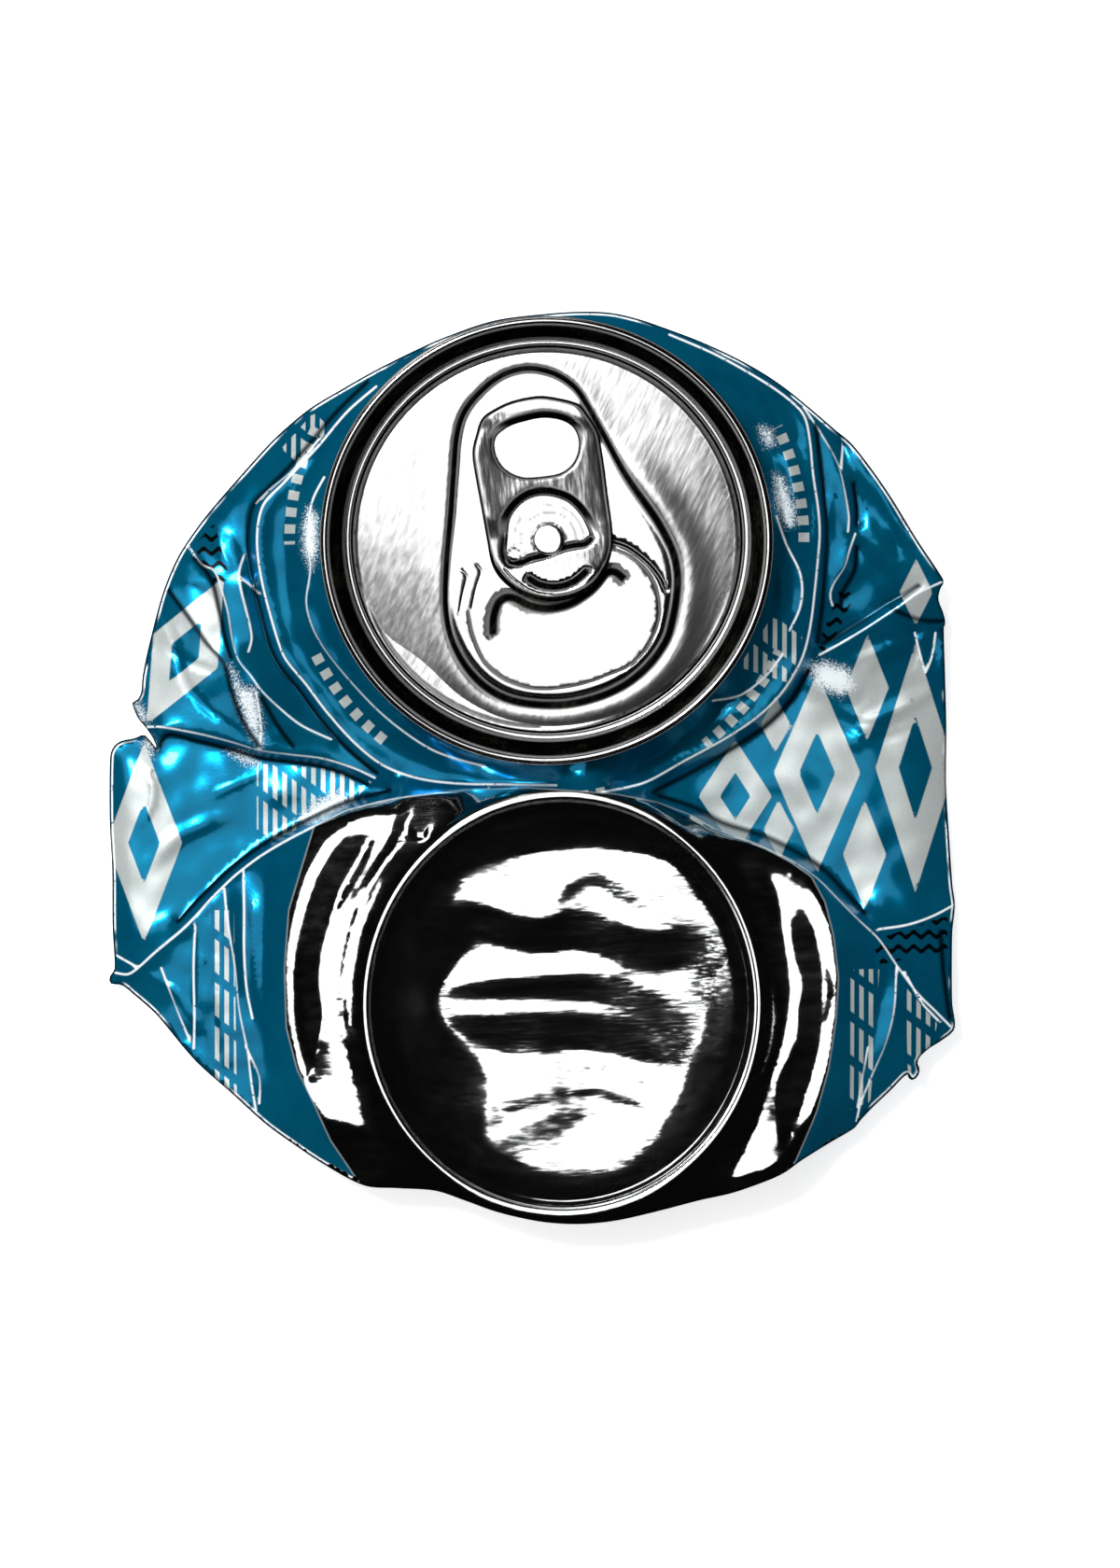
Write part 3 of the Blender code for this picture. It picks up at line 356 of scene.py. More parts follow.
def curve_through(points, step, closed=False):
    """A smooth curve through points, resampled at about one step along the plan."""
    points = np.asarray(points, float)
    before, after = (points[-1:], points[:2]) if closed else (points[:1], points[-1:])
    around = np.concatenate([before, points, after])
    t = np.linspace(0, 1, CURVE_STEPS + 1)[:-1, None]
    pieces = []
    for a, b, c, d in zip(around, around[1:], around[2:], around[3:]):
        # tangents are cut where the neighbouring stretch is much longer, so the curve doesn't overshoot
        chord = math.dist(b[:2], c[:2])
        start = (c - a) * chord / (max(math.dist(a[:2], b[:2]), chord) + chord)
        stop = (d - b) * chord / (max(math.dist(c[:2], d[:2]), chord) + chord)
        pieces.append(
            (2 * t**3 - 3 * t**2 + 1) * b + (t**3 - 2 * t**2 + t) * start
            + (3 * t**2 - 2 * t**3) * c + (t**3 - t**2) * stop
        )
    pieces.append(around[-2][None])
    dense = np.concatenate(pieces)
    along = np.concatenate([[0], np.cumsum(np.linalg.norm(np.diff(dense[:, :2], axis=0), axis=1))])
    places = np.linspace(0, along[-1], max(2, round(along[-1] / step)) + 1)
    return np.stack([np.interp(places, along, column) for column in dense.T], axis=1)


def line_distance(points, line):
    """Distance to an open polyline."""
    x, y = points[:, 0], points[:, 1]
    nearest = np.full(len(points), np.inf)
    for (x0, y0), (x1, y1) in zip(line, line[1:]):
        dx, dy = x1 - x0, y1 - y0
        t = np.clip(((x - x0) * dx + (y - y0) * dy) / max(dx * dx + dy * dy, LEAST_AREA), 0, 1)
        nearest = np.minimum(nearest, np.hypot(x - x0 - t * dx, y - y0 - t * dy))
    return nearest


def signed_distance(points, polygon):
    """Distance to a closed polygon's edge, negative inside it."""
    x, y = points[:, 0], points[:, 1]
    ring = np.vstack([polygon, polygon[:1]])
    within = np.zeros(len(points), bool)
    for (x0, y0), (x1, y1) in zip(ring, ring[1:]):
        if y0 != y1:
            within ^= ((y0 > y) != (y1 > y)) & (x < x0 + (y - y0) * (x1 - x0) / (y1 - y0))
    distance = line_distance(points, ring)
    return np.where(within, -distance, distance)


def inside(points, polygon, clearance):
    """The points that lie further than clearance inside a polygon."""
    return points[signed_distance(points, polygon) < -clearance]


def outside(points, polygon, clearance):
    """The points that lie further than clearance outside a polygon."""
    return points[signed_distance(points, polygon) > clearance]


def search_tree(points):
    tree = KDTree(len(points))
    for i, point in enumerate(points):
        tree.insert((point[0], point[1], 0), i)
    tree.balance()
    return tree


def gaps(points, taken):
    """How far each point is from the nearest of those taken."""
    tree = search_tree(taken)
    return np.array([tree.find((x, y, 0))[2] for x, y in points])


def far_from(candidates, taken, apart):
    """The candidates that lie further than apart from every taken point."""
    return candidates[gaps(candidates, taken) > apart]


def thinned(candidates, apart):
    """The candidates in turn, leaving out each that comes too near an earlier one."""
    cells, kept = {}, []
    for x, y in candidates:
        column, row = int(x // apart), int(y // apart)
        around = [cells.get((column + i, row + j)) for i in (-1, 0, 1) for j in (-1, 0, 1)]
        if all(other is None or math.dist(other, (x, y)) >= apart for other in around):
            cells[column, row] = (x, y)
            kept.append((x, y))
    return np.array(kept)


def beside(line, distances):
    """Points in rows on both sides of a line."""
    direction = np.gradient(line[:, :2], axis=0)
    normal = np.stack([-direction[:, 1], direction[:, 0]], axis=1)
    normal /= np.linalg.norm(normal, axis=1, keepdims=True)
    return np.concatenate([line[:, :2] + normal * distance for distance in distances])


def hexagonal(low, high, step):
    """Points in staggered rows over a rectangle."""
    rows = []
    for i, y in enumerate(np.arange(low[1], high[1], step * math.sqrt(0.75))):
        x = np.arange(low[0] + (i % 2) * step / 2, high[0], step)
        rows.append(np.column_stack([x, np.full(len(x), y)]))
    return np.concatenate(rows)


def with_height(flat, height):
    """A closed line with that height, ending where it began."""
    flat = np.concatenate([flat, flat[:1]])
    return np.column_stack([flat, np.broadcast_to(height, len(flat))])


def triangulated(lines, fill):
    """Points, triangles, each point's pinned height or NaN, and the line it came from or -1."""
    known = np.concatenate(lines)
    owner = np.concatenate([np.full(len(line), i) for i, line in enumerate(lines)])
    edges = []
    for first, line in zip(np.cumsum([0, *map(len, lines)]), lines):
        edges += [(first + i, first + i + 1) for i in range(len(line) - 1)]
    within_constraints = 1
    everything = [Vector(point) for point in np.concatenate([known[:, :2], fill])]
    made = delaunay_2d_cdt(everything, edges, [], within_constraints, MERGE_DISTANCE)
    flat, _, triangles, origins, _, _ = made
    flat, triangles = np.array([tuple(point) for point in flat]), np.array(triangles)
    heights = np.full(len(flat), np.nan)
    line_of = np.full(len(flat), -1)
    tree = search_tree(known)
    for i, sources in enumerate(origins):
        from_lines = [source for source in sources if source < len(known)]
        if not sources:
            from_lines = [tree.find((*flat[i], 0))[1]]
        if from_lines:
            heights[i] = known[from_lines, 2].mean()
            line_of[i] = min(owner[from_lines])
    return flat, triangles, heights, line_of


def cotangent_weights(points, triangles):
    """Each edge once with its weight, and each point's share of the area."""
    edges, weights = [], []
    share = np.zeros(len(points))
    for k in range(3):
        i, j, far = triangles[:, k], triangles[:, (k + 1) % 3], triangles[:, (k + 2) % 3]
        u, v = points[i] - points[far], points[j] - points[far]
        twice_area = np.abs(u[:, 0] * v[:, 1] - u[:, 1] * v[:, 0])
        weights.append(0.5 * (u * v).sum(axis=1) / np.maximum(twice_area, LEAST_AREA))
        edges.append(np.sort(np.stack([i, j], axis=1), axis=1))
        share += np.bincount(i, twice_area / 6, len(points))
    unique, which = np.unique(np.concatenate(edges), axis=0, return_inverse=True)
    return unique, np.maximum(np.bincount(which.ravel(), np.concatenate(weights)), LEAST_WEIGHT), share


def settled(heights, pinned, edges, weights, mass=0, force=0):
    """Heights that stretch evenly between the pinned ones. mass holds each to where it was."""
    a, b = edges.T

    def pull(values):
        difference = weights * (values[a] - values[b])
        total = np.bincount(a, difference, len(values)) - np.bincount(b, difference, len(values))
        return np.where(pinned, 0, total + mass * values)

    stiffness = np.bincount(a, weights, len(heights)) + np.bincount(b, weights, len(heights)) + mass
    stiffness = np.maximum(stiffness, SMALL)
    residual = np.where(pinned, 0, mass * heights + force) - pull(heights)
    direction = residual / stiffness
    energy = residual @ direction
    heights = heights.copy()
    for _ in range(MOST_STEPS):
        if energy < LEAST_ENERGY:
            break
        moved = pull(direction)
        stride = energy / (direction @ moved)
        heights += stride * direction
        residual -= stride * moved
        before, energy = energy, residual @ (residual / stiffness)
        direction = residual / stiffness + (energy / before) * direction
    return heights


def rounded(heights, pinned, mesh, spread):
    """Heights smoothed over a distance of about spread."""
    edges, weights, share = mesh
    return settled(heights, pinned, edges, weights, 2 * share / spread**2)


def ring_points(profile, segments, centre=(0, 0)):
    """Rings of points turned from a profile of radius and height."""
    angles = np.linspace(0, TURN, segments, endpoint=False)
    x, y = np.cos(angles), np.sin(angles)
    return np.concatenate([
        np.column_stack([centre[0] + radius * x, centre[1] + radius * y, np.full(segments, z)])
        for radius, z in profile
    ])


def between_rings(count, segments):
    """Triangles that join each ring of points to the next."""
    triangles = []
    for first in range(0, (count - 1) * segments, segments):
        for i in range(segments):
            a, b = first + i, first + (i + 1) % segments
            triangles += [(a, a + segments, b + segments), (a, b + segments, b)]
    return triangles


def fan(first, segments, middle):
    """Triangles that join the ring of points from first on to the one in its middle."""
    return [(first + i, middle, first + (i + 1) % segments) for i in range(segments)]


def in_scene(name, mesh):
    mesh.shade_smooth()
    made = bpy.data.objects.new(name, mesh)
    bpy.context.scene.collection.objects.link(made)
    return made


def closed_mesh(name, vertices, triangles, attributes):
    """A smooth object from points in millimetres."""
    mesh = bpy.data.meshes.new(name)
    mesh.from_pydata([tuple(vertex) for vertex in vertices * MM], [], [tuple(t) for t in triangles])
    for key, values in attributes.items():
        layer = mesh.attributes.new(key, "FLOAT", "POINT")
        layer.data.foreach_set("value", np.asarray(values, np.float32))
    work = bmesh.new()
    work.from_mesh(mesh)
    bmesh.ops.remove_doubles(work, verts=work.verts, dist=SMALL * MM)
    bmesh.ops.recalc_face_normals(work, faces=work.faces)
    open_edges = sum(1 for edge in work.edges if not edge.is_manifold)
    print(name, "triangles", len(work.faces), "open edges", open_edges)
    work.to_mesh(mesh)
    work.free()
    return in_scene(name, mesh)


def lid_mesh(name, vertices, triangles, attributes):
    """The same, from points in the lid's frame."""
    made = closed_mesh(name, vertices, triangles, attributes)
    made.data.transform(IN_METRES @ LID_FRAME @ IN_METRES.inverted())
    return made


# ---------------------------------------------------------------------------------------------------------
# The can's body
# ---------------------------------------------------------------------------------------------------------

# how far apart the points are along the lines, and over each stretch of the surface
LINE_STEP = 0.5
ROLL_STEP = 0.75
FRONT_STEP = 0.52
BARE_STEP = 0.36
DOME_STEP = 0.42
HIDDEN_STEP = 3
BACK_STEP = 1.1
PRINT_STEP = 0.25
EDGE_STEP = 1
# rows of points beside the folds, and how near to each other they come
CREASE_ROWS = (-0.26, 0.26)
FINE_ROWS = (-0.5, -0.25, 0, 0.25, 0.5)
ROW_GAP = 0.3
NARROW = 1
# how far the points stay from the lines round them
CLEARANCE = 0.2
OUTLINE_CLEARANCE = 0.25
HIDDEN_CLEARANCE = 1.5
BACK_CLEARANCE = 0.4
# how near to a line's points the rest come, as a share of their step
BARE_SHARE = 0.6
FRONT_SHARE = 0.7
DOME_GAP = 0.3
BACK_GAP = 0.8
BARE_BOX = ((-30, -54), (37, -2))
# over what distance the heights are smoothed
WALL_SOFTNESS = 1.3
DOME_SOFTNESS = 0.65
CREASE_SOFTNESS = 0.2
RING_SOFTNESS = 0.12
BACK_SOFTNESS = 0.9
DOME_RIM = 0.5
FIRST_HEIGHT = 8
FIRST_BACK_HEIGHT = 1

# Slopes of bare metal that mirror the lamps straight up, along X and along Y. Steeper metal looks black.
LIT_SLOPES = np.array([(-0.06, 0.36), (-0.42, 0.12)])
# how far inside or outside those slopes the metal is kept
DOME_MARGIN = 0.05
LOBE_MARGIN = 0.09
STEEPEST = 0.8
MIRROR_ROUNDS = 36
# the slopes that the dome starts with: lit, along its ripples, and outwards where it is a plain bowl
FIRST_LIT_SLOPE = (0.08, -0.3)
RIPPLE_SLOPE = (0, 0.62)
BOWL_SLOPE = 0.75
# The dome's middle, which is gently curved, and ripples that climb steeply towards +Y within it
DOME_LIT = [[
    (-9, -14), (-8.4, -12.7), (-5, -11.5), (0, -10.3), (5, -9.8), (10, -9.9), (15, -10.6), (17.5, -12),
    (19, -14.5), (20.5, -16.5), (22, -18), (23.4, -19.8), (23.3, -21.6), (22, -22.4), (20.8, -23.2),
    (20.2, -26), (20.3, -30), (19.5, -34), (18, -38.5), (16.4, -41), (15.2, -43.5), (13, -46), (10, -48),
    (5, -48.5), (0, -47.8), (-3, -46.3), (-5.8, -44.5), (-5.8, -42), (-4.6, -38), (-6.5, -35), (-10, -31.5),
    (-11.7, -28.5), (-10.8, -26), (-9, -24), (-8, -22), (-7, -20.5), (-8.8, -19), (-8.8, -16),
]]  # fmt: skip
RIPPLES = [
    [(-13, -14.5), (-8.6, -15.4), (-5, -16.7), (-2, -17.7), (0, -18), (2, -17.8), (3.6, -17), (5.2, -16.4),
     (7.5, -16.6), (9.2, -17.5), (11, -18.5), (13, -19.2), (15, -19.3), (17.2, -19), (19, -18.8),
     (20.2, -19.6), (20.4, -21.4), (19.2, -23.2), (17, -24.2), (15, -24.7), (13, -24.5), (11, -23.9),
     (9, -22.9), (7, -22.1), (5, -21.9), (3, -22.2), (0.6, -22.5), (-1, -22.2), (-3, -21.5), (-5, -20.8),
     (-6.5, -20.4), (-9, -21), (-13, -22)],
    [(2.6, -16), (4, -14), (5.4, -12.8), (7.4, -12.1), (9, -12.3), (10.6, -13.4), (12, -15), (13.6, -16.9),
     (12.4, -17.2), (10.4, -16.4), (9.4, -15.6), (8.6, -14.6), (7.4, -14.3), (6, -14.4), (4.8, -15.2),
     (3.6, -16.1)],
    [(-9.6, -26.4), (-5, -25.3), (0, -24.7), (5, -24.4), (9, -24.3), (12, -25.3), (15, -27.1), (17.6, -29),
     (18.9, -31.2), (18.7, -33.6), (17.2, -36.2), (16.4, -34.6), (15.6, -32.6), (14, -30.7), (11, -29.2),
     (8, -28.3), (5, -27.9), (0, -27.9), (-5, -27.9), (-9.6, -27.6)],
    [(-10, -30.2), (-7.5, -29.3), (-3, -29.2), (1, -28.9), (5, -28.8), (9, -29.3), (12, -30.1), (14, -31.2),
     (15.2, -33.4), (16.4, -36), (14, -35.6), (11, -34.9), (8, -34.2), (6, -33.9), (4, -33.8), (2, -34.3),
     (0, -34.9), (-3, -34.3), (-7, -32.6)],
    [(-4.8, -40), (-2, -39.1), (2, -38.4), (6, -37.9), (9, -38.2), (12, -39.3), (14, -41.2), (11.6, -40.6),
     (8, -39.6), (4, -40), (0, -41), (-4.8, -42.8)],
    [(-4, -45), (-1, -42.8), (3, -41.2), (6.6, -40.6), (8.4, -41.2), (6, -42.6), (2, -44.1), (-1.6, -45)],
]  # fmt: skip
# The lobes: flutes that face up, and steeper metal within the widest of them
FLUTES = [
    [(-16.2, -5.4), (-17.8, -5.4), (-20, -5.8), (-22.2, -7), (-24.4, -8.8), (-26, -11.2), (-27.3, -14.2),
     (-28.4, -18), (-29.2, -21.6), (-29.5, -26), (-29.2, -30), (-28.5, -33.4), (-27.4, -36.6), (-26, -39.4),
     (-27.1, -35.8), (-27.8, -31.6), (-28.2, -27), (-28.1, -22.4), (-27.3, -18), (-26, -13.8),
     (-24.6, -10.9), (-22.8, -8.6), (-20.6, -8), (-18.3, -8.3), (-19.2, -10.6), (-20.8, -13.7),
     (-22.4, -16.1), (-24, -18.6), (-25.1, -21.8), (-25.4, -25.2), (-25.1, -28), (-24.2, -30.3),
     (-24, -27.4), (-23.9, -24.2), (-23.3, -21), (-22.2, -17.2), (-20.6, -14), (-18.6, -10.6), (-17.2, -8)],
    [(-20.6, -14.8), (-22.2, -17.6), (-23.3, -21.6), (-23.8, -25.4), (-24.6, -30), (-24.6, -34), (-25, -37),
     (-27, -38.4), (-27, -39.6), (-24.6, -41.8), (-22, -42.5), (-20.1, -42.9), (-20.6, -40), (-21.6, -36.2),
     (-22.7, -31.8), (-23.2, -27.4), (-22.9, -23.2), (-22, -19.6), (-20.8, -16.5), (-19.6, -14.3)],
    [(-17.6, -12.6), (-19.4, -15.8), (-21, -18.9), (-22, -22.4), (-22.3, -26), (-22.1, -29), (-21.6, -31.3),
     (-21.2, -28.2), (-21.1, -25), (-20.6, -22), (-19.6, -18.4), (-18.4, -15.4)],
    [(28.2, -12.5), (30.8, -13.3), (33, -13.8), (34.5, -16.1), (35.6, -19.2), (36.2, -23.4), (36.8, -27.6),
     (36.3, -31.2), (35.4, -35), (34, -39.2), (32.2, -43), (30.4, -45.8), (28.6, -47.6), (26.4, -48.2),
     (24, -48.8), (25, -46), (26.5, -42.8), (27.9, -38.9), (29, -34.9), (30.2, -30.4), (30.7, -26.6),
     (30.3, -22.4), (29.6, -18), (29.1, -14.8)],
    [(28.4, -25.4), (29.1, -28.2), (29.2, -31), (28.5, -34.4), (27, -37.5), (24.8, -40.7), (23, -43.6),
     (21.6, -45.9), (22.8, -42.9), (24.7, -40), (26.7, -37.1), (28, -33.5), (28.5, -29.4)],
]  # fmt: skip
STEEP_IN_FLUTES = [
    [(32, -17), (33.4, -18.5), (34.1, -20.8), (34.6, -24.6), (34.7, -28.8), (34.2, -33.2), (33.2, -37.6),
     (31.8, -41.7), (29.9, -45.4), (29.4, -43.2), (28.8, -40.6), (29.2, -37.4), (30.5, -35), (31.8, -32),
     (31.7, -29.3), (32.2, -26), (31.6, -23.2), (31, -20.2), (31.1, -17.9)],
    [(34.9, -23.1), (35.7, -24.4), (36.1, -26.4), (35.7, -28.7), (34.8, -30.6), (35, -27)],
]  # fmt: skip
SHAPE_STEP = 0.3
# the lesser folds: how finely they are followed, and how far from a coarser line they are looked for
FOLD_STEP = 0.1
COARSE = 5
REACH = 1.5
# the low swells in the printed wall: length, height, and how far from the bare metal they fade in
SWELL_LENGTH = 3.2
SWELL_RISE = 0.18
SWELL_FADE = (0, 2)


def ring_ellipse(offset, step=EDGE_STEP):
    """A closed ellipse at an offset outwards from the standing ring's crest."""
    angles = np.linspace(0, TURN, round(math.pi * (RING_AXES[0] + RING_AXES[1]) / step), endpoint=False)
    return np.stack([
        RING_CENTRE[0] + (RING_AXES[0] + offset) * np.cos(angles),
        RING_CENTRE[1] + (RING_AXES[1] + offset) * np.sin(angles),
    ], axis=1)


DOME_EDGE = ring_ellipse(RING_PROFILE[0][0])
RING_EDGE = ring_ellipse(RING_PROFILE[-1][0])


def ring_lines():
    """The standing ring's lines. The outer half of its crest is broader at the top and bottom of the ring."""
    lines = []
    for offset, below in RING_PROFILE:
        line = with_height(ring_ellipse(offset, LINE_STEP), RING_HEIGHT - below)
        if offset > 0:
            across = np.abs(line[:, 1] - RING_CENTRE.y) / RING_AXES.y
            raised = CREST_SHARE * fading(offset, *CREST_WIDTH)
            line[:, 2] += raised * below * smooth_step(across, *CREST_ENDS)
        lines.append(line)
    return lines


def lid_lines():
    """The lid's seat, a closed circle in its tilted frame, and the pit just inside it."""
    circle = ring_points([(SEAT_RADIUS, -SEAT_DEPTH)], SEAT_POINTS)
    seat = np.array([tuple(LID_FRAME @ Vector(point)) for point in circle])
    middle = seat[:, :2].mean(axis=0)
    pit = with_height(middle + PIT_SHARE * (seat[:, :2] - middle), 0)
    pit[:, 2] = LID_CENTRE.z - PIT_DEPTH + math.tan(LID_TILT) * (pit[:, 1] - LID_CENTRE.y)
    return np.concatenate([seat, seat[:1]]), pit


def part_of_mesh(triangles, chosen, count):
    """The chosen triangles renumbered, their points, and which of those also belong to other triangles."""
    points = np.unique(triangles[chosen])
    number = np.full(count, -1)
    number[points] = np.arange(len(points))
    shared = np.zeros(count, bool)
    shared[triangles[~chosen]] = True
    return number[triangles[chosen]], points, shared[points]


def corner_gradients(flat, triangles):
    """For each triangle its area, and the slope that each corner's height gives it."""
    a, b, c = (flat[triangles[:, k]] for k in range(3))
    twice_area = (b[:, 0] - a[:, 0]) * (c[:, 1] - a[:, 1]) - (b[:, 1] - a[:, 1]) * (c[:, 0] - a[:, 0])
    twice_area = np.where(np.abs(twice_area) < SLIVER, SLIVER, twice_area)
    across = np.stack([c - b, a - c, b - a], axis=1)
    gradients = np.stack([-across[..., 1], across[..., 0]], axis=2) / twice_area[:, None, None]
    return np.abs(twice_area) / 2, gradients


def with_slopes(flat, triangles, heights, pinned, shown, rounds):
    """Heights that come as near as they can to the slopes that shown gives for the ones they have."""
    edges, weights, _ = cotangent_weights(flat, triangles)
    areas, gradients = corner_gradients(flat, triangles)
    for _ in range(rounds):
        slopes = (gradients * heights[triangles][..., None]).sum(axis=1)
        pushes = areas[:, None] * (gradients * shown(slopes)[:, None, :]).sum(axis=2)
        force = np.bincount(triangles.ravel(), pushes.ravel(), len(flat))
        heights = settled(heights, pinned, edges, weights, force=force)
    return heights


def mirror_slopes(lit, margin):
    """A function from slopes to the nearest that mirror the lamps where lit, and that miss them elsewhere."""
    low, high = LIT_SLOPES.T
    ways = np.array([(-1, 0), (1, 0), (0, -1), (0, 1)])

    def shown(slopes):
        facing = np.clip(slopes, low + margin, high - margin)
        depths = np.stack([
            slopes[:, 0] - low[0], high[0] - slopes[:, 0], slopes[:, 1] - low[1], high[1] - slopes[:, 1],
        ]) + margin
        missing = slopes + ways[depths.argmin(axis=0)] * np.maximum(depths.min(axis=0), 0)[:, None]
        length = np.linalg.norm(missing, axis=1, keepdims=True)
        missing *= np.minimum(1, STEEPEST / np.maximum(length, SMALL))
        return np.where(lit[:, None], facing, missing)

    return shown


def within(points, shapes):
    """Which points lie in any of the shapes."""
    found = np.zeros(len(points), bool)
    for shape in shapes:
        found |= signed_distance(points, curve_through(shape, SHAPE_STEP, closed=True)) < 0
    return found


def shaped_dome(flat, triangles, heights, pinned):
    """The bowl inside the standing ring, with its ripples."""
    middles = flat[triangles].mean(axis=1)
    chosen = signed_distance(middles, ring_ellipse(RING_PROFILE[1][0])) < 0
    part, points, edge = part_of_mesh(triangles, chosen, len(flat))
    held, middles = edge | pinned[points], middles[chosen]
    ripple = within(middles, RIPPLES)
    lit = within(middles, DOME_LIT) & ~ripple
    outward = middles - np.array(RING_CENTRE)
    bowl = BOWL_SLOPE * outward / np.maximum(np.linalg.norm(outward, axis=1, keepdims=True), 1)
    first = np.where(lit[:, None], FIRST_LIT_SLOPE, np.where(ripple[:, None], RIPPLE_SLOPE, bowl))
    shaped = with_slopes(flat[points], part, heights[points], held, lambda slopes: first, 1)
    mirrored = mirror_slopes(lit, DOME_MARGIN)
    heights[points] = with_slopes(flat[points], part, shaped, held, mirrored, MIRROR_ROUNDS)
    return heights


def shaped_lobes(flat, triangles, heights, pinned):
    """The bare metal round the standing ring, with its flutes."""
    middles = flat[triangles].mean(axis=1)
    chosen = (signed_distance(middles, RING_EDGE) > 0) & (signed_distance(middles, BARE) < 0)
    part, points, edge = part_of_mesh(triangles, chosen, len(flat))
    held, middles = edge | pinned[points], middles[chosen]
    lit = within(middles, FLUTES) & ~within(middles, STEEP_IN_FLUTES)
    mirrored = mirror_slopes(lit, LOBE_MARGIN)
    heights[points] = with_slopes(flat[points], part, heights[points], held, mirrored, MIRROR_ROUNDS)
    return heights


def fine_folds(flat):
    """How far the lesser folds lift each point. Each fold fades out at its ends."""
    lift = np.zeros(len(flat))
    for rise, half_width, line in FINE_FOLDS:
        line = curve_through(line, FOLD_STEP)
        fade = np.sqrt(np.sin(np.linspace(0, math.pi, len(line))))
        close = np.flatnonzero(line_distance(flat, line[::COARSE]) < REACH * half_width)
        apart = np.linalg.norm(flat[close, None] - line[None], axis=2)
        lift[close] += rise * fade[apart.argmin(axis=1)] * fading(apart.min(axis=1), 0, half_width)
    return lift


def swells(flat):
    """Low, soft swells in the printed wall."""
    lift = np.array([noise.noise((x / SWELL_LENGTH, y / SWELL_LENGTH, 0)) for x, y in flat])
    return SWELL_RISE * lift * smooth_step(signed_distance(flat, BARE), *SWELL_FADE)


def front_sheet(outline):
    """The side that faces up: flat points, triangles and heights."""
    creases = [curve_through(line, LINE_STEP) for line in RIDGES + FEET]
    rolls = [curve_through(line, ROLL_STEP) for line in ROLLS]
    seat, pit = lid_lines()
    lines = [np.vstack([outline, outline[:1]]), *creases, *rolls, *ring_lines(), seat, pit]
    fixed = {0, *range(len(creases) + len(rolls) + 1, len(lines))}
    sharp = fixed | set(range(1, len(creases) + 1))

    border, seat = outline[:, :2], seat[:, :2]
    low, high = border.min(axis=0), border.max(axis=0)
    taken = np.concatenate(lines)[:, :2]
    rows = [beside(line, CREASE_ROWS) for line in creases]
    narrow = [line for _, width, line in FINE_FOLDS if width < NARROW]
    rows += [beside(curve_through(line, LINE_STEP), FINE_ROWS) for line in narrow]
    rows = thinned(far_from(np.concatenate(rows), taken, CLEARANCE), ROW_GAP)
    taken = np.concatenate([taken, rows])
    wall = outside(outside(hexagonal(low, high, FRONT_STEP), seat, CLEARANCE), RING_EDGE, CLEARANCE)
    bare = inside(outside(hexagonal(*BARE_BOX, BARE_STEP), RING_EDGE, CLEARANCE), BARE, 0)
    dome = inside(hexagonal(low, high, DOME_STEP), DOME_EDGE, CLEARANCE)
    hidden = inside(hexagonal(low, high, HIDDEN_STEP), seat, HIDDEN_CLEARANCE)
    bare, dome = far_from(bare, taken, BARE_SHARE * BARE_STEP), far_from(dome, taken, DOME_GAP)
    fill = np.concatenate([bare, dome, hidden])
    fill = np.concatenate([fill, far_from(wall, np.concatenate([taken, fill]), FRONT_SHARE * FRONT_STEP)])
    fill = np.concatenate([inside(rows, border, CLEARANCE), inside(fill, border, OUTLINE_CLEARANCE)])
    flat, triangles, heights, line_of = triangulated(lines, fill)

    pinned = ~np.isnan(heights)
    mesh = cotangent_weights(flat, triangles)
    heights = settled(np.where(pinned, heights, FIRST_HEIGHT), pinned, *mesh[:2])
    held, creased = np.isin(line_of, list(fixed)), np.isin(line_of, list(sharp))
    heights = rounded(heights, creased, mesh, WALL_SOFTNESS)
    heights = shaped_dome(flat, triangles, heights, held)
    heights = shaped_lobes(flat, triangles, heights, creased)
    beyond_dome = signed_distance(flat, DOME_EDGE) > -DOME_RIM
    heights = rounded(heights, held | beyond_dome, mesh, DOME_SOFTNESS)
    heights = rounded(heights, held, mesh, CREASE_SOFTNESS)
    heights = rounded(heights, line_of == 0, mesh, RING_SOFTNESS)
    return flat, triangles, heights + (fine_folds(flat) + swells(flat)) * (line_of != 0)


def back_sheet(outline):
    """The wall underneath: flat points, triangles and heights."""
    lines = [np.vstack([outline, outline[:1]]), *(curve_through(line, EDGE_STEP) for line in BACK_CREASES)]
    border = outline[:, :2]
    fill = hexagonal(border.min(axis=0), border.max(axis=0), BACK_STEP)
    fill = inside(far_from(fill, np.concatenate(lines), BACK_GAP), border, BACK_CLEARANCE)
    flat, triangles, heights, line_of = triangulated(lines, fill)
    pinned = ~np.isnan(heights)
    mesh = cotangent_weights(flat, triangles)
    heights = settled(np.where(pinned, heights, FIRST_BACK_HEIGHT), pinned, *mesh[:2])
    return flat, triangles, rounded(heights, line_of == 0, mesh, BACK_SOFTNESS)


# ---------------------------------------------------------------------------------------------------------
# Print: closed shapes, and lines with a width
# ---------------------------------------------------------------------------------------------------------

BARE = [
    (-26, -7), (-27.5, -12), (-29, -17), (-29.5, -24), (-29.3, -31), (-28, -36), (-26, -40), (-24, -44.5),
    (-20, -50.5), (-12, -57), (20, -57), (31.5, -47), (32.6, -44.5), (34, -41), (35.4, -36), (36.3, -30),
    (36.6, -25), (36, -20), (35, -16), (33.4, -13), (31, -11.3), (27, -9.1), (22, -7.4), (19, -5.6),
    (15, -4.1), (10, -3.1), (0, -2.4), (-8, -2.6), (-16, -3.6), (-22, -5),
]  # fmt: skip


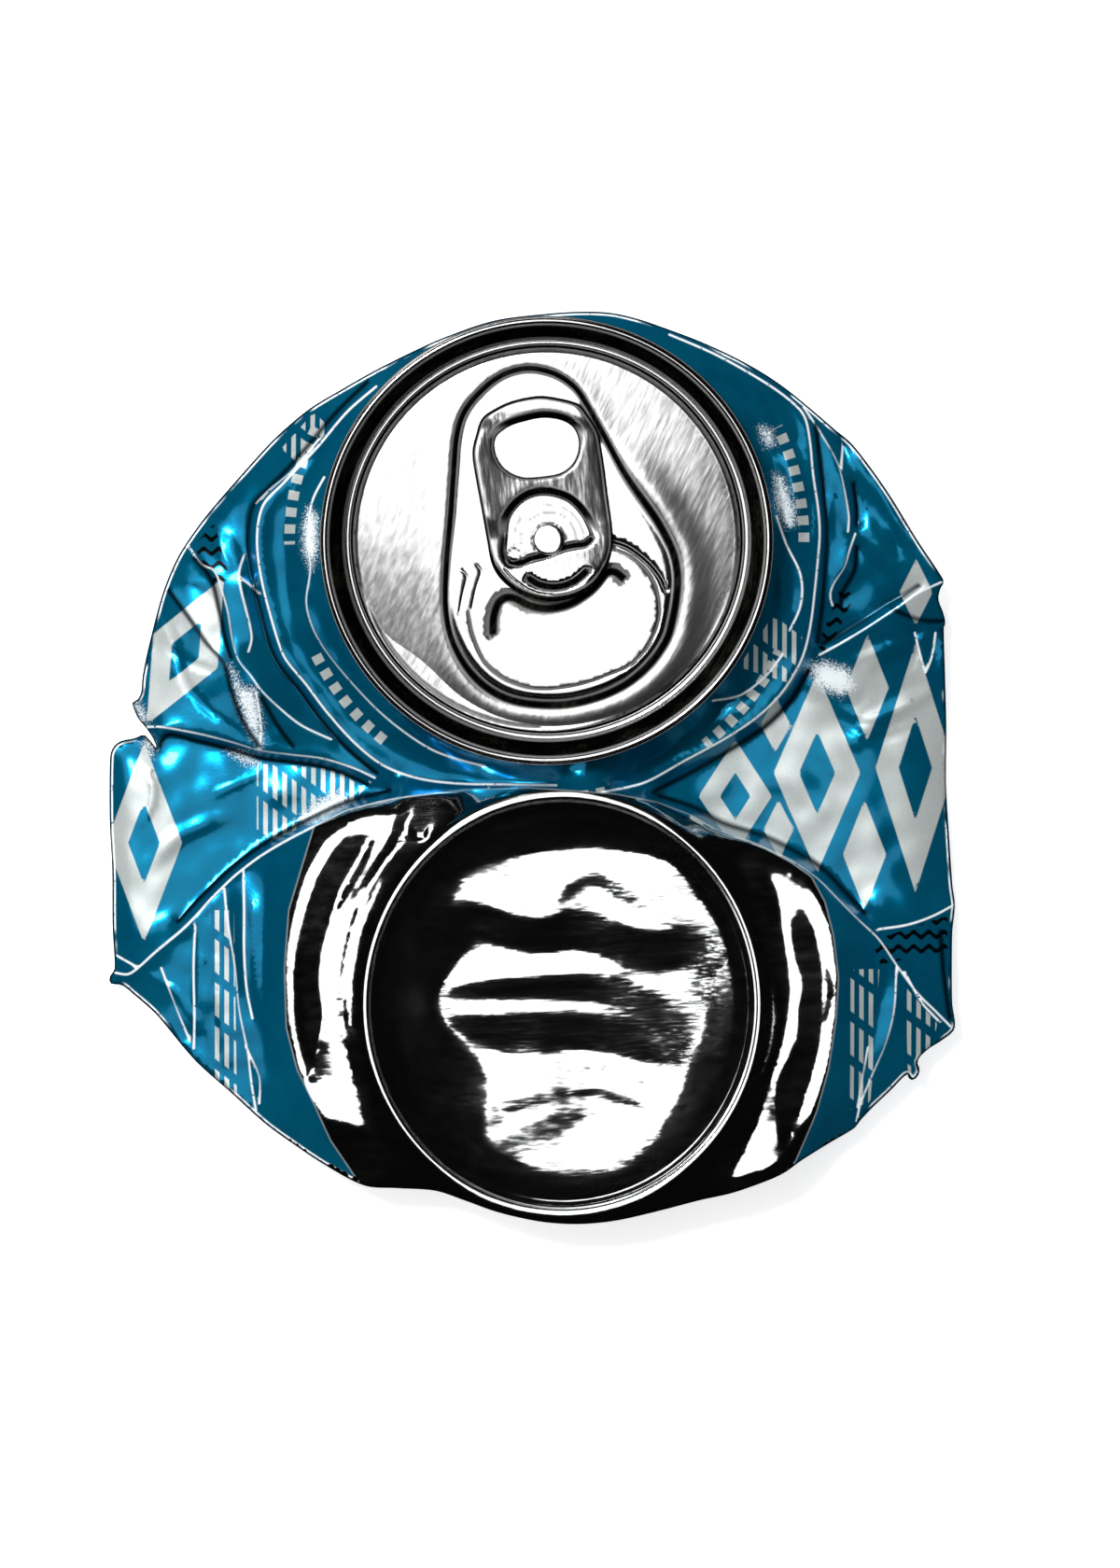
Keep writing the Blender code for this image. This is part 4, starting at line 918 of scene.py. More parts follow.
def lozenge(x, y, half_width, half_height, turn=0):
    """A lozenge's four corners."""
    angle = math.radians(turn)
    corners = [(half_width, 0), (0, half_height), (-half_width, 0), (0, -half_height)]
    return [
        (x + a * math.cos(angle) - b * math.sin(angle), y + a * math.sin(angle) + b * math.cos(angle))
        for a, b in corners
    ]


# Lozenges: middle, half-width, half-height and turn. The first few have a smaller blue one inside.
LOZENGES = [
    (24.4, -3.4, 4.4, 6.8), (34.2, -0.6, 5.2, 12), (46, 0, 4.8, 15), (-46.5, -9, 4.6, 12),
    (-41.5, 14, 4.4, 10, -28),
    (29.2, 5.2, 1.8, 3.4), (29.6, -7.4, 1.8, 3.6), (39.9, -10.4, 2.6, 6.6), (40.2, 9.6, 2.6, 6.4),
    (46, 21, 2, 4),
]
SILVER = [lozenge(*place) for place in LOZENGES]
SILVER_BORDER = 1.3
BLUE_SHARE = 0.42
INNER_BLUE = [
    lozenge(x, y, BLUE_SHARE * half_width, BLUE_SHARE * half_height, *turn)
    for x, y, half_width, half_height, *turn in LOZENGES[:5]
]
# Painted highlights: patches where the print is painted white to stand for the lamps' reflection
PAINTED_HIGHLIGHTS = [
    [(-36.2, 12.4), (-34.8, 9.6), (-33.2, 9.4), (-32.4, 5.4), (-32.4, 2.2), (-33.8, 4.6), (-35, 7.6)],
    [(-26.6, 31), (-25.6, 30), (-25.5, 26), (-26.3, 23.6), (-27.2, 26), (-27.2, 29)],
    [(28.9, 35), (30, 34.4), (31.2, 31.4), (31.5, 29), (30.3, 28.8), (29.2, 31.6)],
    [(27.2, 40.6), (28.5, 40.2), (28.9, 38.6), (27.8, 38.4)],
    [(33, 12.2), (35, 12.8), (38, 11.8), (38.6, 9.6), (37, 8.6), (34.6, 9.6)],
    [(-28, -6.6), (-25, -5.8), (-22, -4), (-23.4, -3), (-26, -4.2)],
    [(-36.4, 2), (-34.4, 1.8), (-32.8, 0.6), (-34, 0.5)],
    [(-47.8, 7.8), (-46.8, 7.4), (-45.9, 5.6), (-46.8, 5.6)],
    [(-46.2, 3.8), (-45.5, 3.2), (-45.6, 1.4), (-46.6, 2.6)],
]
# Where fine silver stripes and small black waves are printed
STRIPED = [
    [(-33, -9.5), (-33, 0.6), (-25, 0), (-19, -1.6), (-22, -4.6), (-28, -7.4)],
    [(-38.6, -17), (-35.6, -17), (-35.2, -42), (-38, -40)],
    [(38, -24), (41.6, -24), (40.6, -40), (38, -41)],
    [(44.6, -26), (48.6, -30.6), (47.6, -36), (45, -37)],
    [(-27.6, 36), (-24, 40.5), (-26, 42.6), (-30, 38.2)],
    [(24.6, 12), (31, 10), (32.6, 16.6), (28.6, 18)],
]
WAVED = [
    [(-40.6, 26.6), (-38, 29.6), (-36, 22.6), (-38, 21.6)],
    [(34, 14.4), (35.4, 13.6), (38.8, 20.6), (37, 21.8)],
    [(40.6, -20.6), (50, -17.6), (50, -22), (41.6, -23.6)],
]
DEEP_OUTSIDE = -9
SHAPE_MARGIN = 3
# underneath, the metal is bare beyond this distance from the middle, towards the base
BACK_BARE = (43, 44)
BACK_BARE_DEPTH = 4.5


def deepest(points, shapes):
    """How far inside the nearest of the shapes each point lies, negative outside."""
    depth = np.full(len(points), float(DEEP_OUTSIDE))
    for shape in shapes:
        shape = np.array(shape)
        low, high = shape.min(axis=0) - SHAPE_MARGIN, shape.max(axis=0) + SHAPE_MARGIN
        close = ((points > low) & (points < high)).all(axis=1)
        depth[close] = np.maximum(depth[close], -signed_distance(points[close], shape))
    return depth


def line_depth(points, lines):
    """How far each point is from the nearest of the lines, up to FAR."""
    lines = [curve_through(np.array(line)[:, :2], PRINT_STEP) for line in lines]
    return np.minimum(gaps(points, np.concatenate(lines)), FAR)


def make_body():
    outline = curve_through(OUTLINE, LINE_STEP, closed=True)[:-1]
    front, front_triangles, front_heights = front_sheet(outline)
    back, back_triangles, back_heights = back_sheet(outline)
    flat = np.concatenate([front, back])
    is_front = np.arange(len(flat)) < len(front)
    heights = np.concatenate([front_heights, back_heights])
    triangles = np.concatenate([front_triangles, back_triangles[:, ::-1] + len(front)])
    silver = deepest(flat, SILVER)
    back_bare = BACK_BARE_DEPTH * (2 * smooth_step(-flat[:, 1], *BACK_BARE) - 1)
    attributes = {
        "bare": np.where(is_front, deepest(flat, [BARE]), back_bare),
        "silver": np.where(silver > SILVER_BORDER, -deepest(flat, INNER_BLUE), silver),
        "painted_highlights": deepest(flat, PAINTED_HIGHLIGHTS),
        "stripes": deepest(flat, STRIPED),
        "waves": deepest(flat, WAVED),
        "dome": -signed_distance(flat, DOME_EDGE) * is_front,
        # ridge and rim: distances that the material uses to paint highlights; rim also carries painted shade
        "ridge": np.where(is_front, line_depth(flat, RIDGES), line_depth(flat, BACK_CREASES)),
        "rim": line_depth(flat, [OUTLINE + OUTLINE[:1]]),
        # foot: distance to the feet of the steps, where the material paints shade
        "foot": np.where(is_front, line_depth(flat, FEET), FAR),
    }
    return closed_mesh("crushed_body", np.column_stack([flat, heights]), triangles, attributes)


# ---------------------------------------------------------------------------------------------------------
# The lid, in its own frame: the origin is the middle of the seam's top
# ---------------------------------------------------------------------------------------------------------

LID_SEGMENTS = 320
# radius and height, from the panel's edge out over the seam and back underneath
LID_PROFILE = [
    (23.05, -5.85), (23.12, -5.95), (23.2, -6.2), (23.28, -6.5), (23.38, -6.72), (23.5, -6.84),
    (23.75, -6.88), (24, -6.86), (24.15, -6.76), (24.25, -6.5), (24.45, -5.6), (24.85, -4), (25.25, -2.4),
    (25.6, -1.1), (25.75, -0.62), (25.9, -0.34), (26.05, -0.15), (26.17, -0.05), (26.35, 0), (26.5, -0.01),
    (26.56, -0.06), (26.64, -0.17), (26.7, -0.22), (26.8, -0.23), (26.86, -0.3), (26.92, -0.45),
    (26.95, -0.8), (26.95, -1.6), (26.93, -2.1), (26.75, -2.4), (26.4, -2.5), (26, -2.5), (25.8, -2.7),
    (25.3, -4.2), (24.8, -6), (24.6, -6.8), (24.2, -7.2), (23.8, -7.3), (23.3, -7.2), (23.1, -6.9),
    (23.05, -6.5), (23.05, -6.2),
]  # fmt: skip
PANEL_EDGE = LID_PROFILE[0][0]
# the panel's underside: rings as shares of its radius, and how far it sinks towards its middle
UNDER_SHARES = (1, 0.96, 0.8, 0.5, 0.2)
UNDER_HEIGHT = LID_PROFILE[-1][1]
UNDER_SINK = 0.6
PANEL_TOP = -4.6
PANEL_DEPTH = 5
PANEL_BULGE = (4, 0.02)
# which way the panel leans down, from how far out, how steeply, and how softly it starts
PANEL_LEANS = [((0.86, -0.5), 12.5, 0.115, 5), ((-0.5, -0.87), 11, 0.185, 3)]
LEAN_EDGE = (-1.5, 0.5)


def on_lid(points, depth):
    """Places in the lid's frame at a depth below the seam, from where they're seen from above."""
    points = np.asarray(points, float)
    shift = LID_CENTRE.y + depth * math.sin(LID_TILT)
    along = (points[:, 1] - shift) / (math.cos(LID_TILT) * LID_OVAL)
    return np.column_stack([points[:, 0] - LID_CENTRE.x, along])


def panel_curve(line, step=0.4, closed=False):
    """A curve on the panel through places seen from above."""
    return curve_through(on_lid(line, PANEL_DEPTH), step, closed)


TEARDROP = [
    (-0.4, 47.65), (-3.4, 46.9), (-6, 45), (-8.1, 42.4), (-9, 39.6), (-9.4, 35), (-9.75, 30), (-10.2, 25),
    (-10.4, 20), (-10, 16.6), (-9, 13.8), (-7.4, 11.3), (-5.4, 9.4), (-3, 8.1), (0, 7.45), (4, 7.4), (8, 8.3),
    (11.4, 9.9), (14.2, 12.3), (16.2, 15.2), (17, 18), (17.4, 20.5), (17.5, 23), (17, 25.6), (15.9, 28),
    (14.6, 30.2), (11.25, 35), (8.4, 40.2), (6.6, 43.4), (5.2, 45.4), (2.8, 47),
]  # fmt: skip
# The teardrop's edge, from inside it outwards: how far out, and how high above the panel. It is sharper at
# the upper left.
TEARDROP_EDGE = [
    (-1.2, -0.6), (-0.9, -0.59), (-0.65, -0.52), (-0.35, -0.34), (0, -0.08), (0.35, 0.18), (0.65, 0.37),
    (0.95, 0.48), (1.3, 0.54), (1.7, 0.54), (2.2, 0.46), (2.9, 0.31), (3.8, 0.13), (4.8, 0.03), (6, 0),
]  # fmt: skip
SHARP_EDGE = [
    (-1.2, -0.6), (-0.7, -0.59), (-0.45, -0.53), (-0.25, -0.4), (0, -0.2), (0.25, 0), (0.45, 0.09),
    (0.7, 0.12),
    (1.2, 0.1), (2, 0.04), (3, 0), (6, 0),
]  # fmt: skip
EDGE_PROFILE_STEP = 0.05
TEAR_LINE = [
    (9.6, 26.9), (11.2, 26.4), (12.6, 25.5), (14, 24.3), (15.3, 22.7), (16, 21.2),
]  # fmt: skip
SCORE_LINE = [
    (10.2, 25.9), (12, 25.1), (13.6, 23.7), (14.7, 22), (15.25, 20), (15.3, 18), (14.7, 15.9), (13.5, 13.8),
    (12.1, 12.4), (11, 11.7), (9.2, 11), (7.4, 10.3), (5.6, 9.8), (3.9, 9.5), (2, 9.3), (0, 9.4), (-1.5, 9.8),
    (-3.3, 10.6), (-5.1, 12), (-6, 13.4), (-7, 16), (-7.5, 18.6),
]  # fmt: skip
BEAD = [
    (-4.6, 16), (-4.5, 18), (-3.9, 19.7), (-2.9, 20.3), (-1.8, 20.1), (-0.2, 19.3), (2, 18.95), (4.6, 19.5),
    (6.9, 21), (8.3, 22.6), (9.1, 23.3), (10, 23.3), (11, 22.5),
]  # fmt: skip
SIDE_MARKS = [
    [(-8.2, 23.4), (-7.7, 22.8), (-8.2, 20.6), (-8.7, 18)],
    [(-6.6, 24.2), (-6, 23.4), (-6.6, 21.4), (-7.1, 19)],
]
# each pressed line: its half-width and depth, and how far to each side of it rows of points lie
MARK_ROWS = (0.12, 0.24)
PRESSED_LINES = [
    (TEAR_LINE, 0.4, 0.34, (0.12, 0.24, 0.36)),
    (BEAD, 0.75, 0.6, (0.2, 0.4, 0.6)),
    *((line, 0.2, 0.09, MARK_ROWS) for line in (SCORE_LINE, *SIDE_MARKS)),
]
TEARDROP_ROWS = (-0.9, -0.7, -0.5, -0.35, -0.2, 0, 0.2, 0.35, 0.5, 0.7, 0.9, 1.2, 1.5)
RIM_ROWS = (22.9, 22.7, 22.55, 22.42, 22.3, 22.18, 22.05)
TEARDROP_STEP = 0.35
PRESSED_STEP = 0.3
PANEL_ROW_GAP = 0.1
PANEL_BOX = ((-23, -23), (23, 23))
PANEL_STEP = 0.5
PANEL_GAP = 0.35
PANEL_CLEARANCE = 0.2
RIM_BLEND = 0.5
# the ring of small dents near the panel's edge: radius, half-widths, number and depth
COIN_RADIUS = 22.3
COIN_WIDTH = (0.05, 0.25)
COIN_DOTS = 150
COIN_DEPTH = 0.02
# where the teardrop's edge turns from sharp to blunt, along a slanting line
BLUNT_SLANT = 0.7
BLUNT_FROM = (-5, 7)
# Where shade is painted: rings of the profile, with the radii over which it grows and fades; both kinds of
# the teardrop's edge; and the half-width of the shade in each pressed line
SHADED_RINGS = [((24.1, 24.4), (25.8, 26.1)), ((23.02, 23.1), (23.4, 23.5)), ((26.82, 26.93), (27.5, 28))]
SHADED_EDGE = 0.1
SHARP_SHADE = (0.28, 0.5)
BLUNT_SHADE = (0.35, 0.8)
LINE_SHADE = [(BEAD, 0.6), (SCORE_LINE, 0.12), (TEAR_LINE, 0.2)]
LINE_SHADE_FADE = (0.6, 1.3)
FAINT_GRAIN = 0.2


def along_profile(distance, profile):
    """Heights from a profile drawn as a smooth curve."""
    dense = curve_through(np.column_stack([profile, np.zeros(len(profile))]), EDGE_PROFILE_STEP)
    return np.interp(distance, dense[:, 0], dense[:, 1])


def teardrop_distance(points):
    return signed_distance(points, panel_curve(TEARDROP, closed=True))


def blunt_share(points):
    """How blunt the teardrop's edge is: 0 at the upper left, 1 at the lower right."""
    return smooth_step((points[:, 0] - points[:, 1]) * BLUNT_SLANT, *BLUNT_FROM)


def panel_heights(points):
    """The panel bulges up and leans at two places. The tools pressed a teardrop and lines into it."""
    radius = np.hypot(*points.T)
    power, edge_slope = PANEL_BULGE
    heights = PANEL_TOP - edge_slope * PANEL_EDGE / (power + 1) * (radius / PANEL_EDGE) ** (power + 1)
    beyond = teardrop_distance(points)
    for way, start, slope, soft in PANEL_LEANS:
        lean = slope * soft * np.logaddexp(0, (points @ way - start) / soft)
        heights -= lean * smooth_step(beyond, *LEAN_EDGE)
    blunt = blunt_share(points)
    heights += blunt * along_profile(beyond, TEARDROP_EDGE) + (1 - blunt) * along_profile(beyond, SHARP_EDGE)
    for line, half_width, depth, _ in PRESSED_LINES:
        heights -= depth * fading(line_distance(points, panel_curve(line)), 0, half_width)
    dots = 0.5 + 0.5 * np.cos(COIN_DOTS * np.arctan2(points[:, 1], points[:, 0]))
    heights -= COIN_DEPTH * dots * fading(np.abs(radius - COIN_RADIUS), *COIN_WIDTH)
    return heights + (LID_PROFILE[0][1] - heights) * fading(PANEL_EDGE - radius, 0, RIM_BLEND)


def lid_painted_shade(points):
    """Painted shade in the wall of the lid, in the teardrop's edge and in the pressed lines."""
    radius = np.hypot(*points.T)
    rings = [smooth_step(radius, *grown) * fading(radius, *faded) for grown, faded in SHADED_RINGS]
    painted_shade = np.max(rings, axis=0)
    on_panel = radius < PANEL_EDGE
    points = points[on_panel]
    edge, blunt = np.abs(teardrop_distance(points) + SHADED_EDGE), blunt_share(points)
    found = fading(edge, *SHARP_SHADE) * (1 - blunt) + fading(edge, *BLUNT_SHADE) * blunt
    for line, width in LINE_SHADE:
        low, high = width * np.array(LINE_SHADE_FADE)
        found = np.maximum(found, fading(line_distance(points, panel_curve(line)), low, high))
    painted_shade[on_panel] = found
    return painted_shade


def panel():
    """The lid's panel: points and triangles."""
    edge = ring_points(LID_PROFILE[:1], LID_SEGMENTS)[:, :2]
    rows = [beside(panel_curve(TEARDROP, TEARDROP_STEP, closed=True), TEARDROP_ROWS)]
    for line, _, _, right in PRESSED_LINES:
        left = [-distance for distance in right[::-1]]
        rows.append(beside(panel_curve(line, PRESSED_STEP), (*left, 0, *right)))
    rows += [edge * (radius / PANEL_EDGE) for radius in RIM_ROWS]
    rows = thinned(np.concatenate(rows), PANEL_ROW_GAP)
    fill = far_from(hexagonal(*PANEL_BOX, PANEL_STEP), rows, PANEL_GAP)
    fill = np.concatenate([rows, fill])
    fill = fill[np.hypot(*fill.T) < PANEL_EDGE - PANEL_CLEARANCE]
    flat, triangles, _, line_of = triangulated([with_height(edge, LID_PROFILE[0][1])], fill)
    heights = np.where(line_of == 0, LID_PROFILE[0][1], panel_heights(flat))
    return np.column_stack([flat, heights]), triangles


def make_lid():
    """The seam and the wall, turned from the profile, with the panel in them and a plain underside."""
    top, triangles = panel()
    under = [(PANEL_EDGE * share, UNDER_HEIGHT - UNDER_SINK * (1 - share) ** 0.5) for share in UNDER_SHARES]
    shell, below = ring_points(LID_PROFILE, LID_SEGMENTS), ring_points(under, LID_SEGMENTS)
    points = np.concatenate([shell, top, below, [(0, 0, UNDER_HEIGHT - UNDER_SINK)]])
    middle = len(points) - 1
    faces = np.concatenate([
        between_rings(len(LID_PROFILE), LID_SEGMENTS),
        triangles + len(shell),
        np.array(between_rings(len(under), LID_SEGMENTS)) + len(shell) + len(top),
        fan(middle - LID_SEGMENTS, LID_SEGMENTS, middle),
    ])
    places = points[:, :2]
    on_flat = (np.hypot(*places.T) < PANEL_EDGE) & (teardrop_distance(places) > 0)
    attributes = {"painted_shade": lid_painted_shade(places), "grain": np.where(on_flat, 1, FAINT_GRAIN)}
    return lid_mesh("can_lid", points, faces, attributes)


# ---------------------------------------------------------------------------------------------------------
# The tab and its rivet, in the lid's frame
# ---------------------------------------------------------------------------------------------------------

TAB_BOTTOM = -4.8
TAB_TOP = -3.5
TAB_OUTLINE = [
    (-5.3, 42.1), (-2.6, 43.5), (0.8, 44.2), (3.4, 43.9), (5.5, 43.3), (6.4, 42.4), (7.9, 40), (8.4, 37.6),
    (8.7, 35.6), (9.1, 32.4), (9.6, 28.8), (9.7, 26.8), (9.5, 25.4), (9, 23.8), (8.1, 22.2), (6.7, 21),
    (4.6, 20.1), (2, 19.8), (-0.4, 20.3), (-2.4, 21.3), (-3.9, 22.7), (-4.8, 24.4), (-5.3, 27), (-5.9, 30.4),
    (-6.5, 33.6), (-7, 36.6), (-7, 38), (-6.6, 39.6), (-6.1, 41.2),
]  # fmt: skip
FINGER_HOLE = [
    (-4.3, 37.4), (-3.6, 36), (-2.4, 35), (-0.8, 34.5), (1.2, 34.6), (3.4, 35), (4.8, 36), (5.5, 37.4),
    (5.6, 39), (5, 40.4), (3.6, 41.3), (1.4, 41.6), (-0.8, 41.2), (-2.6, 40.6), (-4, 39.6), (-4.4, 38.6),
]  # fmt: skip
RIVET_WINDOW = [
    (-2.9, 27.6), (-2.7, 29.4), (-1.9, 30.8), (-0.6, 31.9), (0.9, 32.4), (2.6, 32.3), (4.4, 31.6),
    (5.8, 30.2),
    (6.6, 28.8), (7, 27.4), (6.2, 26.7), (4, 26.2), (1.8, 25.4), (-0.4, 24.8), (-2.2, 24.3), (-3, 25.4),
]  # fmt: skip
FOLD_SLOT = [
    (-2.6, 24.5), (-1.4, 24.3), (0, 24.9), (1.8, 25.3), (3.4, 26), (5, 26.4), (6.4, 26.6), (7.1, 27.2),
]  # fmt: skip
NOSE_SLOT = [(-0.3, 22.5), (1, 21.75), (3, 21.5), (5, 22.1), (6.6, 23.4)]
NOSE_LINE = [(-3.2, 23.6), (-1.6, 22), (0.4, 20.9), (2.4, 20.6)]
RIVET_PLACE = (2.05, 27.1)
SMALL_BLOB = (-2.1, 25.2)
# radius, width and strength of the rings of painted shade round the rivet
RIVET_RINGS = [(2, 0.12, 1), (3.3, 0.08, 0.35), (4.2, 0.08, 0.3)]
TONGUE_DEPTH = 0.95
# half-width and depth of the tab's pressed lines
TAB_LINES = [(FOLD_SLOT, 0.5, 0.5), (NOSE_SLOT, 0.62, 0.75), (NOSE_LINE, 0.16, 0.06)]
TAB_LINE_FLOOR = 0.15
TAB_ROWS = (0.04, 0.12, 0.22, 0.35, 0.5, 0.7, 0.9, 1.15, 1.4)
TAB_ROW_GAP = 0.045
TAB_STEP = 0.3
TAB_GAP = 0.2
TAB_CLEARANCE = 0.03
TAB_LEAST = 0.05
SLOT_STEP = 0.2
SLOT_ROWS = np.linspace(-1, 1, 9)
# Radii of the rolled edges at the nose, how much they grow, and from where to where along the tab
OUTER_ROLL = (1.05, -0.5, 13.6, 15.4)
HOLE_ROLL = (0.55, 0.95, 11, 14)
WINDOW_ROLL = (0.9, 0.6, -1, 3)
UNDER_ROLL = 0.5
# The sides of the tab lean over: how steeply, and from where to where across it. Its middle is twisted.
TAB_MIDDLE = (0, 1.2)
LEFT_LEAN = (0.13, 3.2, 8.5)
RIGHT_LEAN = (0.08, 4.4, 6)
TAB_TWIST = (0.115, (0, 3), (13, 15))
# Painted shade: the middle of each dark line beside an edge, its half-widths, and where along the tab it
# grows
WINDOW_SHADE = (0.6, (0.4, 0.6), (0, 3))
HOLE_SHADE = (0.5, (0.35, 0.55), (12, 14))
HOLE_RIM_SHADE = (0.15, 0.3)
OUTER_SHADE = (0.42, 0.4, 1, 5)
OUTER_SHADE_CORE = 0.7
SLOT_SHADE = (0.5, 0.9)
RING_CORE = 0.5
BLOB_CLEAN = (0.6, 0.7)
BLOB_RING = 0.85
BLOB_RING_WIDTH = (0.06, 0.14)
# where the tab's grain is strong: away from the window, and along the tab
GRAIN_WINDOW = (0.1, 0.8)
GRAIN_FROM = (-5, 1)
GRAIN_TO = (14.5, 16)
RIVET_PROFILE = [
    (0, -5), (1.4, -5), (1.45, -4.5), (1.5, -4.35), (1.8, -4.3), (1.87, -4.2), (1.86, -4.05), (1.78, -3.95),
    (1.6, -3.92), (1.2, -3.9), (0.6, -3.9), (0, -3.9),
]  # fmt: skip
RIVET_SEGMENTS = 64


def tab_curve(line, step=TAB_STEP, closed=False):
    """A curve on the tab's top through places seen from above."""
    return curve_through(on_lid(line, -TAB_TOP), step, closed)


def tab_place(place):
    return on_lid([place], -TAB_TOP)[0]


def rolled(depth, radius):
    """How far a rounded edge falls away, from 0 to 1, at a depth in from it."""
    inward = np.clip(1 - depth / radius, 0, 1)
    return 1 - np.sqrt(1 - inward**2)


def roll_radius(y, nose, growth, low, high):
    return nose + growth * smooth_step(y, low, high)


def tab_heights(points, from_edge, from_hole, from_window):
    """Height of the tab's top at each point."""
    x, y = points.T
    half = (TAB_TOP - TAB_BOTTOM) / 2
    heights = TAB_TOP - half * rolled(from_edge, roll_radius(y, *OUTER_ROLL))
    heights -= half * rolled(from_hole, roll_radius(y, *HOLE_ROLL))
    window_edge = rolled(from_window, roll_radius(y, *WINDOW_ROLL))
    heights -= TONGUE_DEPTH * np.where(from_window > 0, window_edge, 1)
    body = smooth_step(from_window, *TAB_MIDDLE)
    slope, low, high = LEFT_LEAN
    heights -= body * slope * smooth_step(-x, low, high) * (high + x - low)
    slope, low, high = RIGHT_LEAN
    heights -= body * slope * np.maximum(x - low, 0) * smooth_step(x, low, high)
    twist, grown, faded = TAB_TWIST
    heights -= body * twist * x * smooth_step(y, *grown) * fading(y, *faded)
    for line, width, depth in TAB_LINES:
        heights -= depth * fading(line_distance(points, tab_curve(line)), TAB_LINE_FLOOR * width, width)
    return heights


def tab_marks(points, from_edge, from_hole, from_window):
    """Painted shade in the tab's rolled edges, slots and round the rivet, and where its grain is strong."""
    y = points[:, 1]
    rim = roll_radius(-y, *OUTER_SHADE)
    found = [fading(from_hole, *HOLE_RIM_SHADE), fading(from_edge, OUTER_SHADE_CORE * rim, rim)]
    for distance, (middle, widths, grown) in ((from_window, WINDOW_SHADE), (from_hole, HOLE_SHADE)):
        found.append(fading(np.abs(distance - middle), *widths) * smooth_step(y, *grown))
    for line, width, _ in TAB_LINES[:2]:
        low, high = width * np.array(SLOT_SHADE)
        found.append(fading(line_distance(points, tab_curve(line)), low, high))
    from_rivet = np.linalg.norm(points - tab_place(RIVET_PLACE), axis=1)
    for radius, width, amount in RIVET_RINGS:
        ring = fading(np.abs(from_rivet - radius), RING_CORE * width, width)
        found.append(amount * ring * (from_window < 0))
    from_blob = np.linalg.norm(points - tab_place(SMALL_BLOB), axis=1)
    painted_shade = np.max(found, axis=0) * smooth_step(from_blob, *BLOB_CLEAN)
    painted_shade = np.maximum(painted_shade, fading(np.abs(from_blob - BLOB_RING), *BLOB_RING_WIDTH))
    grain = smooth_step(from_window, *GRAIN_WINDOW) * smooth_step(y, *GRAIN_FROM) * fading(y, *GRAIN_TO)
    return {"painted_shade": np.tile(painted_shade, 2), "grain": np.tile(grain, 2)}


def make_tab():
    outline = tab_curve(TAB_OUTLINE, closed=True)[:-1]
    hole = tab_curve(FINGER_HOLE, closed=True)[:-1]
    window = tab_curve(RIVET_WINDOW, closed=True)
    middle = (TAB_TOP + TAB_BOTTOM) / 2
    lines = [with_height(outline, middle), with_height(hole, middle)]
    rows = [beside(line, (*TAB_ROWS, *(-row for row in TAB_ROWS))) for line in (*lines, window)]
    rows += [beside(tab_curve(line, SLOT_STEP), width * SLOT_ROWS) for line, width, _ in TAB_LINES]
    rows = thinned(np.concatenate(rows), TAB_ROW_GAP)
    fill = far_from(hexagonal(outline.min(axis=0), outline.max(axis=0), TAB_STEP), rows, TAB_GAP)
    fill = inside(outside(np.concatenate([rows, fill]), hole, TAB_CLEARANCE), outline, TAB_CLEARANCE)
    flat, triangles, _, line_of = triangulated(lines, fill)
    triangles = triangles[signed_distance(flat[triangles].mean(axis=1), hole) > 0]
    edges = -signed_distance(flat, outline), signed_distance(flat, hole), signed_distance(flat, window)
    under = TAB_BOTTOM + (middle - TAB_BOTTOM) * rolled(np.minimum(*edges[:2]), UNDER_ROLL)
    top = np.maximum(tab_heights(flat, *edges), under + TAB_LEAST)
    top, under = (np.where(line_of >= 0, middle, heights) for heights in (top, under))
    points = np.concatenate([np.column_stack([flat, top]), np.column_stack([flat, under])])
    faces = np.concatenate([triangles, triangles[:, ::-1] + len(flat)])
    return lid_mesh("pull_tab_skin", points, faces, tab_marks(flat, *edges))


def make_rivet():
    """The rivet's head, turned from a profile that starts and ends on its axis."""
    centre, (bottom, *rings, top) = tab_place(RIVET_PLACE), RIVET_PROFILE
    points = ring_points(rings, RIVET_SEGMENTS, centre)
    faces = between_rings(len(rings), RIVET_SEGMENTS) + fan(0, RIVET_SEGMENTS, len(points))
    faces += fan(len(points) - RIVET_SEGMENTS, RIVET_SEGMENTS, len(points) + 1)
    ends = [(*centre, bottom[1]), (*centre, top[1])]
    return lid_mesh("rivet", np.concatenate([points, ends]), faces, {})


# ---------------------------------------------------------------------------------------------------------
# Materials
# ---------------------------------------------------------------------------------------------------------


class Number:
    """A number that a node works out. Its sums and products are nodes too."""

    def __init__(self, paint, socket):
        self.paint, self.socket = paint, socket

    def __add__(self, other):
        return self.paint.math("ADD", self, other)

    def __sub__(self, other):
        return self.paint.math("SUBTRACT", self, other)

    def __rsub__(self, other):
        return self.paint.math("SUBTRACT", other, self)

    def __mul__(self, other):
        return self.paint.math("MULTIPLY", self, other)

    def or_more(self, other):
        return self.paint.math("MAXIMUM", self, other)

    def sine(self):
        return self.paint.math("SINE", self)

    def ramp(self, low, high, bottom=0.0, top=1.0):
        """bottom where the number is below low, top above high, and a straight ramp between."""
        inputs = {"Value": self, "From Min": low, "From Max": high, "To Min": bottom, "To Max": top}
        return Number(self.paint, self.paint.node("ShaderNodeMapRange", inputs).outputs["Result"])


